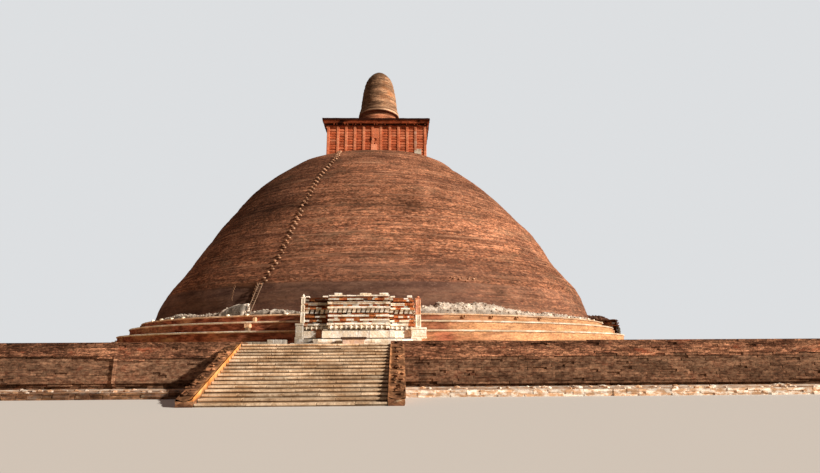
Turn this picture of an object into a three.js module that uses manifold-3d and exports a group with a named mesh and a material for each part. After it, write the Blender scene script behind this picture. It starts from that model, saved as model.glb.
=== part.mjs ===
// A ruined brick stupa as a 1:10 scale model: a square walled platform with a flight of steps on
// each side, three round terraces, a great dome, four altar frontispieces, and the square
// enclosure with its broken spire on top.
// Every size below is a metre of the real building. The finished group is scaled to the model's
// millimetres. Z is up, the ground is Z = 0, and the front faces -Y.
import * as THREE from "three";
import { mergeVertices } from "three/addons/utils/BufferGeometryUtils.js";
import Module from "manifold-3d";

const wasm = await Module();
wasm.setup();

// Scale: one real metre is this many millimetres of model.
const MODEL_MM_PER_METRE = 100;
// Clearance between pieces that are cut to each other's shape.
const GAP = 0.003;
const ROUND_SEGMENTS = 96;

// Square platform and its brick retaining walls
const PLATFORM_HALF = 88;
const PLATFORM_TOP = 2.9;
const WALL_TOP = 3.05;
const WALL_THICKNESS = 1.5;
const FOOTING_HEIGHT = 0.38;
const FOOTING_REACH = 2.3;

// Flights of steps, one in the middle of each side
const RISER_COUNT = 17;
const TREAD = 0.4;
const STEPS_HALF_WIDTH = 4.43;
const LANDING_THICKNESS = 0.35;
const CHEEK_WIDTH = 0.87;
const CHEEK_HEAD_HEIGHT = 2.95;
const CHEEK_FOOT_HEIGHT = 0.42;
const RISER = PLATFORM_TOP / RISER_COUNT;
const STEPS_RUN = (RISER_COUNT - 1) * TREAD;
const LANDING_BOTTOM = PLATFORM_TOP - LANDING_THICKNESS;

// Round terraces: outer radius and top of each, from the lowest up
const TERRACES = [
  { name: "lower_terrace", radius: 52.85, top: 5.11 },
  { name: "middle_terrace", radius: 50.97, top: 6.47 },
  { name: "upper_terrace", radius: 49.06, top: 7.52 },
];
const COPING_REACH = 0.15;
const COPING_HEIGHT = 0.22;

// Dome outline, as radius and height from the foot to the crown
const DOME_OUTLINE = [
  [47.8, 7.52],
  [46.45, 10.8],
  [43.9, 15.5],
  [40.9, 20.2],
  [36.9, 26.1],
  [32, 32.5],
  [27, 38],
  [22.3, 42],
  [17, 44.6],
  [10, 46.6],
  [0, 47.3],
];
const DOME_STEPS = 18;
// The old dome has settled sideways: its middle drifts along X as it rises.
const DOME_SHIFT_AT_FOOT = 0.24;
const DOME_SHIFT_LINEAR = -0.86;
const DOME_SHIFT_SQUARE = -0.96;

// Square enclosure on the crown, with its upright posts in relief and its cornice
const CROWN_OFFSET_X = -0.4;
const ENCLOSURE_HALF = 11.4;
const ENCLOSURE_SEAT = 44.9;
const ENCLOSURE_TOP = 52.8;
const POST_COUNT = 12;
const POST_WIDTH = 0.55;
const POST_RELIEF = 0.13;
const CORNICE_OUTLINE = [
  [11.56, 52.8],
  [11.78, 53.75],
  [11.72, 53.8],
  [11.78, 54.02],
  [12.05, 54.08],
  [12.14, 54.66],
  [12.24, 54.68],
  [12.24, 54.92],
];

// Broken spire: a round drum, and a tapering cone that has lost its tip
const DRUM_OUTLINE = [
  [5.3, 54.92],
  [5.3, 56.6],
  [5.12, 59.9],
  [4.62, 60.5],
  [4.5, 61.25],
];
const SPIRE_OUTLINE = [
  [4.5, 61.25],
  [4.82, 61.45],
  [4.82, 62.05],
  [4.6, 62.4],
  [4.52, 63.8],
  [4.42, 65],
  [4.12, 67.2],
  [3.76, 69.4],
  [3.45, 70.7],
  [2.93, 71.9],
  [1.81, 73.1],
  [0.9, 73.7],
];
const SPIRE_SEGMENTS = 36;

// Altar frontispiece: a middle bay with two wings on each side, each set further back
const BAYS = [
  { half: 3.7, front: 57.13 },
  { half: 5.15, front: 56.55 },
  { half: 6.75, front: 55.95 },
];
const ALTAR_BACK = 46;
const ALTAR_BASE_REACH = 1.35;
const ALTAR_BASE_STEP = 0.45;
const ALTAR_BASE_STEP_TOP = 3.4;
const ALTAR_BASE_TOP = 3.85;
// Mouldings of the frontispiece from the base up: top of each course and how far it stands out
const ALTAR_COURSES = [
  { top: 4.93, reach: 0 },
  { top: 5.55, reach: -0.08 },
  { top: 5.83, reach: 0.14 },
  { top: 6.25, reach: 0.04 },
  { top: 6.92, reach: -0.06 },
  { top: 7.48, reach: -0.02 },
  { top: 7.77, reach: 0.16 },
  { top: 8.07, reach: -0.04 },
  { top: 8.38, reach: 0.16 },
  { top: 9.05, reach: -0.04 },
];
const OFFERING_TABLE = { left: -1.88, right: 1.05, depth: 1, top: 3.66 };
// What is left of each frontispiece: how far it has been cut back towards the dome, how many of
// its courses stand, and the heights of its pedestals and end pillars
const WHOLE_ALTAR = { cutBack: 0, courses: 10, pedestalTop: 5.3, pillarTop: 9.2 };
const WORN_ALTAR = { cutBack: 3, courses: 10, pedestalTop: 5.3, pillarTop: 7.9 };
const FALLEN_ALTAR = { cutBack: 0, courses: 1, pedestalTop: 4.5, pillarTop: 4.9 };
const ALTARS = { front: WHOLE_ALTAR, right: WORN_ALTAR, back: WHOLE_ALTAR, left: FALLEN_ALTAR };

// Carved pillar at each end of a frontispiece, on its own pedestal
const PILLAR_X = 7.28;
const PILLAR_WIDTH = 0.56;
const PILLAR_DEPTH = 0.5;
const PILLAR_FRONT = 56.6;
const PEDESTAL_DEPTH = 1.2;
const PEDESTAL_INNER = 6.92;
const PEDESTALS = [
  { name: "left", side: -1, outer: 8.15 },
  { name: "right", side: 1, outer: 8.35 },
];

// Iron ladder that leans on the foot of the dome, left of the front
const LADDER_BEARING = -20.4;
const LADDER_FOOT_RADIUS = 48.75;
const LADDER_HEAD_RADIUS = 46.05;
const LADDER_HEAD_HEIGHT = 12.3;
const LADDER_HALF_WIDTH = 0.325;
const RAIL_SIZE = 0.08;
const RUNG_SIZE = 0.05;
const RUNG_PITCH = 0.32;

const SIDES = ["front", "right", "back", "left"];
const QUARTER_TURN = Math.PI / 2;

const brick = paint(0x9c5e42, 0.95);
const darkBrick = paint(0x7a4632, 0.95);
const redBrick = paint(0xb5532e, 0.92);
const paleStone = paint(0xd8c6a4, 0.9);
const stepStone = paint(0xb8946a, 0.92);
const sandyFill = paint(0xb98d58, 1);
const weatheredPlaster = paint(0x8f6f5c, 0.95);
const iron = paint(0x4a3f38, 0.6, 0.7);

function paint(color, roughness, metalness = 0) {
  return new THREE.MeshStandardMaterial({ color, roughness, metalness });
}

// A box between two corners
function box(low, high) {
  const size = high.map((value, axis) => value - low[axis]);
  const middle = high.map((value, axis) => (value + low[axis]) / 2);
  return new THREE.BoxGeometry(...size).translate(...middle);
}

// A flat outline of [x, y] points raised from one height to another
function raised(outline, low, high) {
  const shape = new THREE.Shape(outline.map(([x, y]) => new THREE.Vector2(x, y)));
  const settings = { depth: high - low, bevelEnabled: false, curveSegments: 1 };
  return new THREE.ExtrudeGeometry(shape, settings).translate(0, 0, low);
}

// An outline of [y, z] points drawn out across X between two places
function drawnAcross(outline, left, right) {
  const shape = new THREE.Shape(outline.map(([y, z]) => new THREE.Vector2(y, z)));
  const settings = { depth: right - left, bevelEnabled: false, curveSegments: 1 };
  const geometry = new THREE.ExtrudeGeometry(shape, settings);
  const axes = new THREE.Matrix4().set(0, 0, 1, left, 1, 0, 0, 0, 0, 1, 0, 0, 0, 0, 0, 1);
  return geometry.applyMatrix4(axes);
}

// A solid turned about Z from [radius, height] points, closed onto the axis at both ends
function turned(outline, segments) {
  const points = outline.map(([radius, height]) => new THREE.Vector2(radius, height));
  const [first, last] = [points[0], points[points.length - 1]];
  if (first.x > 0) points.unshift(new THREE.Vector2(0, first.y));
  if (last.x > 0) points.push(new THREE.Vector2(0, last.y));
  return new THREE.LatheGeometry(points, segments).rotateX(QUARTER_TURN);
}

// Solids for cutting and joining
function solid(geometry) {
  const bare = geometry.clone();
  bare.deleteAttribute("normal");
  bare.deleteAttribute("uv");
  const merged = mergeVertices(bare, 1e-5);
  const vertProperties = merged.attributes.position.array;
  const triVerts = new Uint32Array(merged.index.array);
  return new wasm.Manifold(new wasm.Mesh({ numProp: 3, vertProperties, triVerts }));
}

function geometryOf(manifold) {
  const { vertProperties, triVerts } = manifold.getMesh();
  const geometry = new THREE.BufferGeometry();
  geometry.setAttribute("position", new THREE.BufferAttribute(vertProperties, 3));
  geometry.setIndex(new THREE.BufferAttribute(triVerts, 1));
  geometry.computeVertexNormals();
  return geometry;
}

function joined(geometries) {
  return geometries.map(solid).reduce((whole, piece) => whole.add(piece));
}

const stupa = new THREE.Group();
stupa.name = "stupa";
stupa.scale.setScalar(MODEL_MM_PER_METRE);

function place(name, geometry, material, holder = stupa) {
  const mesh = new THREE.Mesh(geometry, material);
  mesh.name = name;
  holder.add(mesh);
  return mesh;
}

// The four sides repeat the front, each turned a quarter further round.
function sideGroup(index) {
  const group = new THREE.Group();
  group.rotation.z = index * QUARTER_TURN;
  stupa.add(group);
  return group;
}

// Platform fill between the retaining walls
function platformFill() {
  const half = PLATFORM_HALF - WALL_THICKNESS - GAP;
  return box([-half, -half, 0], [half, half, PLATFORM_TOP]);
}

// Plan of one side's wall or footing between two distances from the middle, mitred at both ends
function mitredPlan(outer, inner) {
  return [
    [-outer + GAP, -outer],
    [outer - GAP, -outer],
    [inner - GAP, -inner],
    [-inner + GAP, -inner],
  ];
}

// Low footing course under a retaining wall, notched where the steps meet it
function wallFooting() {
  const inner = PLATFORM_HALF - WALL_THICKNESS;
  const outer = PLATFORM_HALF + FOOTING_REACH;
  const room = STEPS_HALF_WIDTH + CHEEK_WIDTH + GAP;
  const [left, right, ...back] = mitredPlan(outer, inner);
  const notch = [
    [-room, -outer],
    [-room, -PLATFORM_HALF],
    [room, -PLATFORM_HALF],
    [room, -outer],
  ];
  return raised([left, ...notch, right, ...back], 0, FOOTING_HEIGHT);
}

// Retaining wall on its footing, notched at the top for the landing
function retainingWall() {
  const inner = PLATFORM_HALF - WALL_THICKNESS;
  const wall = raised(mitredPlan(PLATFORM_HALF, inner), FOOTING_HEIGHT, WALL_TOP);
  const clear = STEPS_HALF_WIDTH + GAP;
  const landing = box(
    [-clear, -PLATFORM_HALF - 1, LANDING_BOTTOM],
    [clear, -inner + 1, WALL_TOP + 1],
  );
  return geometryOf(solid(wall).subtract(solid(landing)));
}

// One flight of steps, with the landing slab that lies on the wall
function flightOfSteps() {
  const face = -PLATFORM_HALF - GAP;
  const inner = -PLATFORM_HALF + WALL_THICKNESS - GAP;
  const outline = [];
  for (let step = 0; step < RISER_COUNT; step += 1) {
    const nosing = -PLATFORM_HALF - STEPS_RUN + step * TREAD;
    outline.push([nosing, step * RISER], [nosing, (step + 1) * RISER]);
  }
  outline.push([inner, PLATFORM_TOP], [inner, LANDING_BOTTOM + GAP]);
  outline.push([face, LANDING_BOTTOM + GAP], [face, 0]);
  return drawnAcross(outline, -STEPS_HALF_WIDTH, STEPS_HALF_WIDTH);
}

// Sloping wall beside the steps
function stepCheek(side) {
  const foot = -PLATFORM_HALF - STEPS_RUN;
  const face = -PLATFORM_HALF - GAP;
  const outline = [
    [foot, 0],
    [face, 0],
    [face, CHEEK_HEAD_HEIGHT],
    [foot, CHEEK_FOOT_HEIGHT],
  ];
  const inner = side * (STEPS_HALF_WIDTH + GAP);
  const outer = side * (STEPS_HALF_WIDTH + CHEEK_WIDTH);
  return drawnAcross(outline, Math.min(inner, outer), Math.max(inner, outer));
}

// Outline of one terrace from its foot to its top, with the coping that stands out
function terraceOutline({ radius, top }, foot, grow = 0) {
  return [
    [radius + grow, foot],
    [radius + grow, top - COPING_HEIGHT - grow],
    [radius + COPING_REACH + grow, top - COPING_HEIGHT - grow],
    [radius + COPING_REACH + grow, top + grow],
  ];
}

// Dome outline sampled along a smooth curve
function domeOutline(grow = 0) {
  const curve = new THREE.SplineCurve(DOME_OUTLINE.map(([r, z]) => new THREE.Vector2(r, z)));
  return curve.getPoints(DOME_STEPS).map(({ x, y }, index) => {
    const onAxis = index === DOME_STEPS;
    const atFoot = index === 0;
    return [onAxis ? 0 : x + grow, atFoot ? y + grow : y + grow / 2];
  });
}

// Moves a solid's points along X with the drift of the settled dome
function settle(geometry) {
  const points = geometry.attributes.position;
  const foot = DOME_OUTLINE[0][1];
  const rise = DOME_OUTLINE[DOME_OUTLINE.length - 1][1] - foot;
  for (let index = 0; index < points.count; index += 1) {
    const share = Math.max(0, (points.getZ(index) - foot) / rise);
    const drift = DOME_SHIFT_LINEAR * share + DOME_SHIFT_SQUARE * share * share;
    points.setX(index, points.getX(index) + DOME_SHIFT_AT_FOOT + drift);
  }
  return geometry;
}

function domeBlank(grow = 0) {
  return settle(turned(domeOutline(grow), ROUND_SEGMENTS));
}

// Dome with the level seat for the enclosure cut into its crown
function dome() {
  const half = ENCLOSURE_HALF + POST_RELIEF + GAP;
  const seat = box(
    [CROWN_OFFSET_X - half, -half, ENCLOSURE_SEAT],
    [CROWN_OFFSET_X + half, half, ENCLOSURE_TOP],
  );
  return geometryOf(solid(domeBlank()).subtract(solid(seat)));
}

// Terraces and dome grown by the clearance, to cut what is built against them
function masonryCutter() {
  let foot = PLATFORM_TOP - 1;
  const terraces = TERRACES.map((terrace) => {
    const outline = terraceOutline(terrace, foot, GAP);
    foot = terrace.top - 1;
    return turned(outline, ROUND_SEGMENTS);
  });
  return joined([...terraces, domeBlank(GAP)]);
}

// Square enclosure with its row of posts in relief on every face
function enclosure() {
  const core = box(
    [-ENCLOSURE_HALF, -ENCLOSURE_HALF, ENCLOSURE_SEAT],
    [ENCLOSURE_HALF, ENCLOSURE_HALF, ENCLOSURE_TOP],
  );
  const outer = ENCLOSURE_HALF + POST_RELIEF;
  const pitch = (2 * outer - POST_WIDTH) / (POST_COUNT - 1);
  const pieces = [core];
  for (let index = 0; index < POST_COUNT; index += 1) {
    const left = -outer + index * pitch;
    const right = left + POST_WIDTH;
    pieces.push(box([left, -outer, ENCLOSURE_SEAT], [right, outer, ENCLOSURE_TOP]));
    pieces.push(box([-outer, left, ENCLOSURE_SEAT], [outer, right, ENCLOSURE_TOP]));
  }
  return geometryOf(joined(pieces));
}

// Square cornice: a turned outline with four sides
function cornice() {
  const toCorner = CORNICE_OUTLINE.map(([half, height]) => [half * Math.SQRT2, height]);
  return turned(toCorner, 4).rotateZ(QUARTER_TURN / 2);
}

// Stepped plan of the frontispiece, from its middle bay back to the dome
function altarPlan(reach, cutBack) {
  const right = [];
  BAYS.forEach(({ half, front }, index) => {
    const face = cutBack - front - reach;
    if (index > 0) right.push([BAYS[index - 1].half + reach, face]);
    right.push([half + reach, face]);
  });
  right.push([BAYS[BAYS.length - 1].half + reach, -ALTAR_BACK]);
  const left = right.map(([x, y]) => [-x, y]).reverse();
  return [...left, ...right];
}

function turnedToSide(manifold, index) {
  return manifold.rotate([0, 0, index * 90]);
}

// Stone base of a frontispiece: two slab courses, with the offering table against the middle
function altarBase({ cutBack }, index, cutter) {
  const lowerPlan = altarPlan(ALTAR_BASE_REACH, cutBack);
  const upperPlan = altarPlan(ALTAR_BASE_REACH - ALTAR_BASE_STEP, cutBack);
  const lower = raised(lowerPlan, PLATFORM_TOP, ALTAR_BASE_STEP_TOP);
  const upper = raised(upperPlan, ALTAR_BASE_STEP_TOP, ALTAR_BASE_TOP);
  const front = cutBack - BAYS[0].front - ALTAR_BASE_REACH;
  const { left, right, depth, top } = OFFERING_TABLE;
  const table = box([left, front - depth, PLATFORM_TOP], [right, front + 1, top]);
  const base = turnedToSide(joined([lower, upper, table]), index);
  return geometryOf(base.subtract(cutter));
}

// Moulded brick and stone body of a frontispiece
function altarBody({ cutBack, courses }, index, cutter) {
  let foot = ALTAR_BASE_TOP;
  const pieces = ALTAR_COURSES.slice(0, courses).map(({ top, reach }) => {
    const course = raised(altarPlan(reach, cutBack), foot, top);
    foot = top;
    return course;
  });
  return geometryOf(turnedToSide(joined(pieces), index).subtract(cutter));
}

// Carved end pillar with its pedestal
function altarPillar({ cutBack, pedestalTop, pillarTop }, { side, outer }) {
  const front = cutBack - PILLAR_FRONT;
  const pedestalBack = front + (PEDESTAL_DEPTH + PILLAR_DEPTH) / 2;
  const pedestalX = [side * PEDESTAL_INNER, side * outer].sort((a, b) => a - b);
  const pedestal = box(
    [pedestalX[0], pedestalBack - PEDESTAL_DEPTH, ALTAR_BASE_TOP],
    [pedestalX[1], pedestalBack, pedestalTop],
  );
  const middle = side * PILLAR_X;
  const pillar = box(
    [middle - PILLAR_WIDTH / 2, front, pedestalTop],
    [middle + PILLAR_WIDTH / 2, front + PILLAR_DEPTH, pillarTop],
  );
  return geometryOf(joined([pedestal, pillar]));
}

// Ladder of two rails and its rungs, leaning on the dome
function ladder(cutter) {
  const foot = new THREE.Vector2(LADDER_FOOT_RADIUS, TERRACES[2].top);
  const head = new THREE.Vector2(LADDER_HEAD_RADIUS, LADDER_HEAD_HEIGHT);
  const length = foot.distanceTo(head);
  const lean = Math.atan2(foot.x - head.x, head.y - foot.y);
  const overrun = 0.3;
  const half = LADDER_HALF_WIDTH;
  const pieces = [-half, half].map((x) =>
    box(
      [x - RAIL_SIZE / 2, -RAIL_SIZE / 2, -overrun],
      [x + RAIL_SIZE / 2, RAIL_SIZE / 2, length + overrun],
    ),
  );
  for (let height = RUNG_PITCH; height < length; height += RUNG_PITCH) {
    pieces.push(
      box(
        [-half, -RUNG_SIZE / 2, height - RUNG_SIZE / 2],
        [half, RUNG_SIZE / 2, height + RUNG_SIZE / 2],
      ),
    );
  }
  const leaning = new THREE.Matrix4().makeRotationX(-lean);
  leaning.premultiply(new THREE.Matrix4().makeTranslation(0, -foot.x, foot.y));
  const bearing = THREE.MathUtils.degToRad(LADDER_BEARING);
  leaning.premultiply(new THREE.Matrix4().makeRotationZ(bearing));
  pieces.forEach((piece) => piece.applyMatrix4(leaning));
  return geometryOf(joined(pieces).subtract(cutter));
}

// Assembly from the ground up
place("platform_fill", platformFill(), sandyFill);
const cutter = masonryCutter();

SIDES.forEach((sideName, index) => {
  const side = sideGroup(index);
  place(`${sideName}_wall_footing`, wallFooting(), darkBrick, side);
  place(`${sideName}_platform_wall`, retainingWall(), darkBrick, side);
  place(`${sideName}_steps`, flightOfSteps(), stepStone, side);
  place(`${sideName}_steps_left_cheek`, stepCheek(-1), brick, side);
  place(`${sideName}_steps_right_cheek`, stepCheek(1), brick, side);
  const altar = ALTARS[sideName];
  place(`${sideName}_altar_base`, altarBase(altar, index, cutter), paleStone);
  place(`${sideName}_altar_body`, altarBody(altar, index, cutter), paleStone);
  PEDESTALS.forEach((pedestal) => {
    const pillar = altarPillar(altar, pedestal);
    place(`${sideName}_altar_${pedestal.name}_pillar`, pillar, paleStone, side);
  });
});

let terraceFoot = PLATFORM_TOP;
TERRACES.forEach((terrace) => {
  place(terrace.name, turned(terraceOutline(terrace, terraceFoot), ROUND_SEGMENTS), brick);
  terraceFoot = terrace.top;
});
place("dome", dome(), brick);
place("access_ladder", ladder(cutter), iron);

const crown = new THREE.Group();
crown.position.x = CROWN_OFFSET_X;
stupa.add(crown);
place("harmika", enclosure(), redBrick, crown);
place("harmika_cornice", cornice(), redBrick, crown);
place("spire_drum", turned(DRUM_OUTLINE, SPIRE_SEGMENTS), weatheredPlaster, crown);
place("spire", turned(SPIRE_OUTLINE, SPIRE_SEGMENTS), weatheredPlaster, crown);

export default stupa;
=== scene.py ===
"""The looks of the ruined brick stupa, built around its 1:10 solids.

Lengths are metres of the real building, and REAL turns them into metres of the model. The front
faces -Y. The other three sides repeat it, each turned a quarter further round. Bearings are
degrees from the front towards the right.
"""

import itertools
import math

import bpy
import numpy as np
from mathutils import Matrix, Vector


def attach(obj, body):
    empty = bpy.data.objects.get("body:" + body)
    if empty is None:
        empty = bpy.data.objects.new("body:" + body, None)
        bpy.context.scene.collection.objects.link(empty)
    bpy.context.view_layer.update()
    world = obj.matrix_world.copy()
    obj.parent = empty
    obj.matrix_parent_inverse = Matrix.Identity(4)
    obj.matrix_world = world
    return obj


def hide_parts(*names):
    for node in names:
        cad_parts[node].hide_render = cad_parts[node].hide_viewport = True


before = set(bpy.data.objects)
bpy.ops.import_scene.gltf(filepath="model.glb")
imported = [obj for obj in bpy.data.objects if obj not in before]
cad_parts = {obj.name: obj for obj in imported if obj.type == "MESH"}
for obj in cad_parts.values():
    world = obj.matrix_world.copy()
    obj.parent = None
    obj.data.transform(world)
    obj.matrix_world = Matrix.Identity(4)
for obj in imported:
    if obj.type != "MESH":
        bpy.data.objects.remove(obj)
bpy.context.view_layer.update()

REAL = 0.1
BODY = "root"
SIDES = ("front", "right", "back", "left")


def real_points(node):
    """Corner points of a solid, in metres of the real building."""
    return np.array([vertex.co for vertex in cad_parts[node].data.vertices]) / REAL


def lowest(node):
    return real_points(node).min(0)


def highest(node):
    return real_points(node).max(0)


# Sizes read from the frame
PLATFORM_TOP = highest("platform_fill")[2]
WALL_TOP = highest("front_platform_wall")[2]
WALL_FACE = -lowest("front_platform_wall")[1]
WALL_INNER = highest("platform_fill")[1]
FOOTING_FACE = -lowest("front_wall_footing")[1]
FOOTING_TOP = highest("front_wall_footing")[2]
STEPS_FOOT = -lowest("front_steps")[1]
STEPS_HALF = highest("front_steps")[0]
STEPS_BACK = -highest("front_steps")[1]
CHEEK_OUTER = highest("front_steps_right_cheek")[0]
CHEEK_HEAD = highest("front_steps_right_cheek")[2]
TERRACES = ("lower_terrace", "middle_terrace", "upper_terrace")
CROWN_X = (lowest("harmika")[0] + highest("harmika")[0]) / 2
HARMIKA_HALF = highest("harmika")[1]
HARMIKA_SEAT = lowest("harmika")[2]
HARMIKA_TOP = highest("harmika")[2]
CORNICE_HALF = highest("harmika_cornice")[1]
CORNICE_TOP = highest("harmika_cornice")[2]
ALTAR_BASE_FRONT = -lowest("front_altar_base")[1]
ALTAR_BASE_TOP = highest("front_altar_base")[2]

# Platform walls: height of a course, block lengths, height where the newer brickwork begins, X of
# the step in the face and width of the groove beside it, and the low stretch with its drop
WALL_COURSE = 0.157
WALL_STRETCH = (0.3, 1.0)
REPAIR_LINE = 2.12
WALL_OFFSET_X = -11.85
GROOVE_EDGE = 0.2
LOW_CREST = (11.15, 16.61, 0.07)
LANDING_SLAB = 0.35
HALF_JOINT = 0.006
LOST_BLOCKS = 0.04
# Heights over which the undercut foot of the wall fades out
UNDERCUT = (0.4, 0.66)
# Depth of the core behind the face, from its foot over its top
CORE_DEPTHS = (0.38, 0.3, 0.36, 0.7)
CORE_STRETCHES = 120
# Reach of the mitred ends of a side from its corners
CORNER_REACH = 4
FOOTING_STRETCH = (0.35, 1.0)
FOOTING_DEPTHS = (0.1, 0.25, 0.6, 1.1, 1.8)
DUST_STONES = 420

# Steps of the four flights: risers, treads, their slabs, and how far the wall stays below a slab
RISER_COUNT = 17
TREAD = 0.4
SLAB_THICKNESS = 0.12
SLAB_OVERHANG = 0.06
RISER_DROP = 0.03
SLAB_STRETCH = (1.1, 2.5)
# Section of a cheek: shares of its width and of its height, from the inner foot to the outer one
CHEEK_ACROSS = (0, 0, 0, 0, 0, 0.02, 0.12, 0.3, 0.5, 0.7, 0.88, 0.98, 1, 1, 1, 1, 1)
CHEEK_UP = (0, 0.25, 0.5, 0.75, 0.93, 1, 1, 1, 1, 1, 1, 0.98, 0.9, 0.7, 0.5, 0.25, 0)
CHEEK_COLUMNS = 72
LOOSE_BRICKS = 40

# Terraces: points round, height of a course, coping, bearings of drain holes and of edge stones
TERRACE_COLUMNS = 720
TERRACE_COURSE = 0.14
COPING_REACH = 0.15
COPING_HEIGHT = 0.24
DRAIN_HOLES = (16.7, 22.0, 27.3, 32.8)
EDGE_STONES = (-12.8, -20.1, -24.1, -35.6, -39.5, -43.8, -48.4)
# Stained stretch of the brick: bearing of its middle, and over how many degrees from it it fades
STAIN_BEARING = 9.5
STAIN_FADE = (2.5, 4.5)
# Footholds: bearing of the upper and the lower one, and height of the upper one
FOOTHOLDS = (-18.4, -18.1, 6.8)
# Top of the plaster and rubble left on the upper terrace: bearing and height, and the arch in it:
# bearing and height of its middle, reach to its left, right and top
PLASTER_TOPS = (
    (-90, 7.7), (-45, 7.7), (-43, 8.0), (-40.5, 8.35), (-37, 8.2), (-33, 7.9), (-28, 8.0),
    (-26.6, 8.3), (-26.2, 8.75), (-24.5, 9.2), (-22.8, 9.6), (-22, 9.55), (-21.7, 9.2),
    (-21.3, 8.3), (-20.6, 8.15), (-18, 8.35), (-15.5, 8.3), (-13, 8.1), (-11.2, 7.85), (-6, 7.7),
    (6, 7.7), (8.8, 8.1), (9.4, 8.55), (11.5, 8.7), (12.2, 8.45), (13, 9.2), (15, 9.15),
    (16.7, 9.1), (19.5, 9.2), (20.5, 9.45), (22, 9.15), (24.5, 8.95), (26.5, 8.55), (28.5, 8.4),
    (30, 8.1), (33, 8.2), (35, 8.0), (37.5, 8.3), (40, 8.0), (42, 8.25), (45, 7.9), (50, 8.0),
    (55, 7.8), (90, 7.7),
)
PLASTER_ARCH = (-22.2, 7.5, 4.1, 0.95, 2.05)
# Radius of the dome's foot by height above the upper terrace
DOME_FOOT = ((0, 47.45), (4, 45.9))
PLASTER_COLUMNS = 1200
PLASTER_ROWS = 9
RUBBLE_STONES = 760

# Dome: points round, rows up, and row where its two pieces meet
DOME_COLUMNS = 704
DOME_ROWS = 176
DOME_CUT = 78
# Top of the band at its foot, and bearings over which the band thins out by a share
FOOT_BAND_TOP = 12.6
BAND_THINS = (12, 32)
BAND_LOSS = 0.52
# Its foot is drawn in below these heights, and its crown rises inside a radius
FOOT_INSET = 0.3
FOOT_HEIGHTS = (8.5, 11)
CROWN_RISE = 0.6
CROWN_RADIUS = 24
CROWN_SPREAD = 7
# Shoulder right of the front: bearings and heights over which it swells
SHOULDER_RISE = 0.4
SHOULDER_BEARINGS = (0, 40)
SHOULDER_HEIGHTS = (42.3, 44.3)
# Smooth patch over the band: bearing, reach in degrees, height and half its height
SMOOTH_PATCH = (10, 30, 14.4, 1.9)
# Row of plugs over the band: first and last bearing and pitch, height, and steps from that height
PLUG_BEARINGS = (16.5, 22.5, 0.75)
PLUG_HEIGHT = 13.1
PLUG_STEPS = (-0.3, 0, 0.1, 0.22)
# Slanting recess: bearing of its left and right edge at a level and change per metre, and heights
RECESS_EDGES = ((-30.3, -0.88), (-21.6, -0.28))
RECESS_LEVEL = 10.1
RECESS_HEIGHTS = (9.3, 12.8)
# Poles in the recess: bearing and height of the lower and the upper end, and tone
RECESS_POLES = (((-26.5, 10.0), (-27.25, 12.6), 0.12), ((-21.7, 9.9), (-21.75, 12.7), 0.3))
# Lasting marks on the dome: bearing, height, half width, half height, and change of tone
# Partly real stains, partly painted shade on the dome's left side and painted light on its right.
DOME_MARKS_AND_PAINTED_LIGHT = (
    (2, 27.5, 17, 3.6, -0.12), (35, 37, 14, 6, -0.07), (-30, 38, 12, 5, -0.13), (4, 38, 13, 4, 0.1),
    (-36, 43, 9, 3, -0.06), (20, 20.5, 16, 0.9, -0.12), (4, 33.5, 18, 0.6, 0.1),
    (6, 24.8, 15, 0.4, 0.14), (34, 13.6, 8, 1.4, -0.14), (44, 16.5, 8, 2, -0.12),
    (-44, 33, 13, 8, -0.15), (-75, 24, 30, 9, -0.05), (50, 26, 22, 14, 0.08), (30, 11, 14, 5, 0.12),
    (0, 45.6, 12, 0.9, -0.16), (-4, 20, 9, 5, 0.05), (-20, 31.5, 14, 0.5, 0.16),
    (33, 22.6, 8, 3.4, 0.27), (51, 22.3, 2, 3, 0.15), (-30, 27.5, 9, 4, -0.2), (-6, 19, 5, 5, 0.08),
    (0, 13.6, 12, 0.9, -0.06), (23, 30, 1.8, 1.3, -0.25), (12, 27, 2, 1.3, -0.28),
    (18.8, 32, 1.6, 4, 0.22), (30, 15, 11, 2.6, -0.07), (26.5, 11.3, 1.6, 0.9, -0.25),
    (35.5, 10.8, 2.2, 1.2, -0.25), (46, 11, 6, 2.2, 0.12), (19, 10.8, 4, 1.2, 0.1),
    (-16, 22.3, 18, 0.25, 0.18), (-17.1, 12.3, 0.25, 0.8, 0.3), (0, 11.3, 14, 1.4, -0.07),
    (-11, 11.3, 7, 1.8, -0.1), (0, 22.4, 10, 0.25, 0.12), (-62, 11.5, 12, 3, 0.2),
    (-6, 30, 13, 4, -0.03), (-52, 36, 12, 6, -0.05), (58, 11.5, 6, 3, -0.05),
)
# Bulges and dents of its left and right sides: height and depth
DOME_LEFT = (
    (8, 0.15), (12, 0.05), (14.5, -0.1), (16.5, -0.33), (18.5, -0.38), (20.3, -0.2), (22, -0.1),
    (25, -0.1), (27.5, 0.17), (31, 0.15), (33, 0.38), (35.2, 0.56), (37.5, 0.48), (40.7, 0.26),
    (43, 0.28), (44.5, 0.68), (46, 1.3), (47.2, 1.4),
)
DOME_RIGHT = (
    (8, -0.4), (10.4, -0.45), (11.6, -0.28), (12.8, 0.03), (14.5, 0.08), (15.5, -0.05),
    (16.4, -0.28), (17.7, -0.38), (19.3, -0.55), (20.6, -0.48), (21.8, -0.25), (23, 0),
    (24.4, 0.22), (26.4, 0.36), (27.6, 0.28), (28.7, 0.05), (31.9, 0), (34, 0.1), (37, 0.11),
    (39, 0.02), (41, -0.2), (42.5, -0.25), (44, 0.18), (45.3, 0.55), (47.2, 0.75),
)
# Bearings of both sides, and how far round they reach
DOME_SIDES = ((-68, DOME_LEFT), (73, DOME_RIGHT))
DOME_SIDE_REACH = 24

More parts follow.
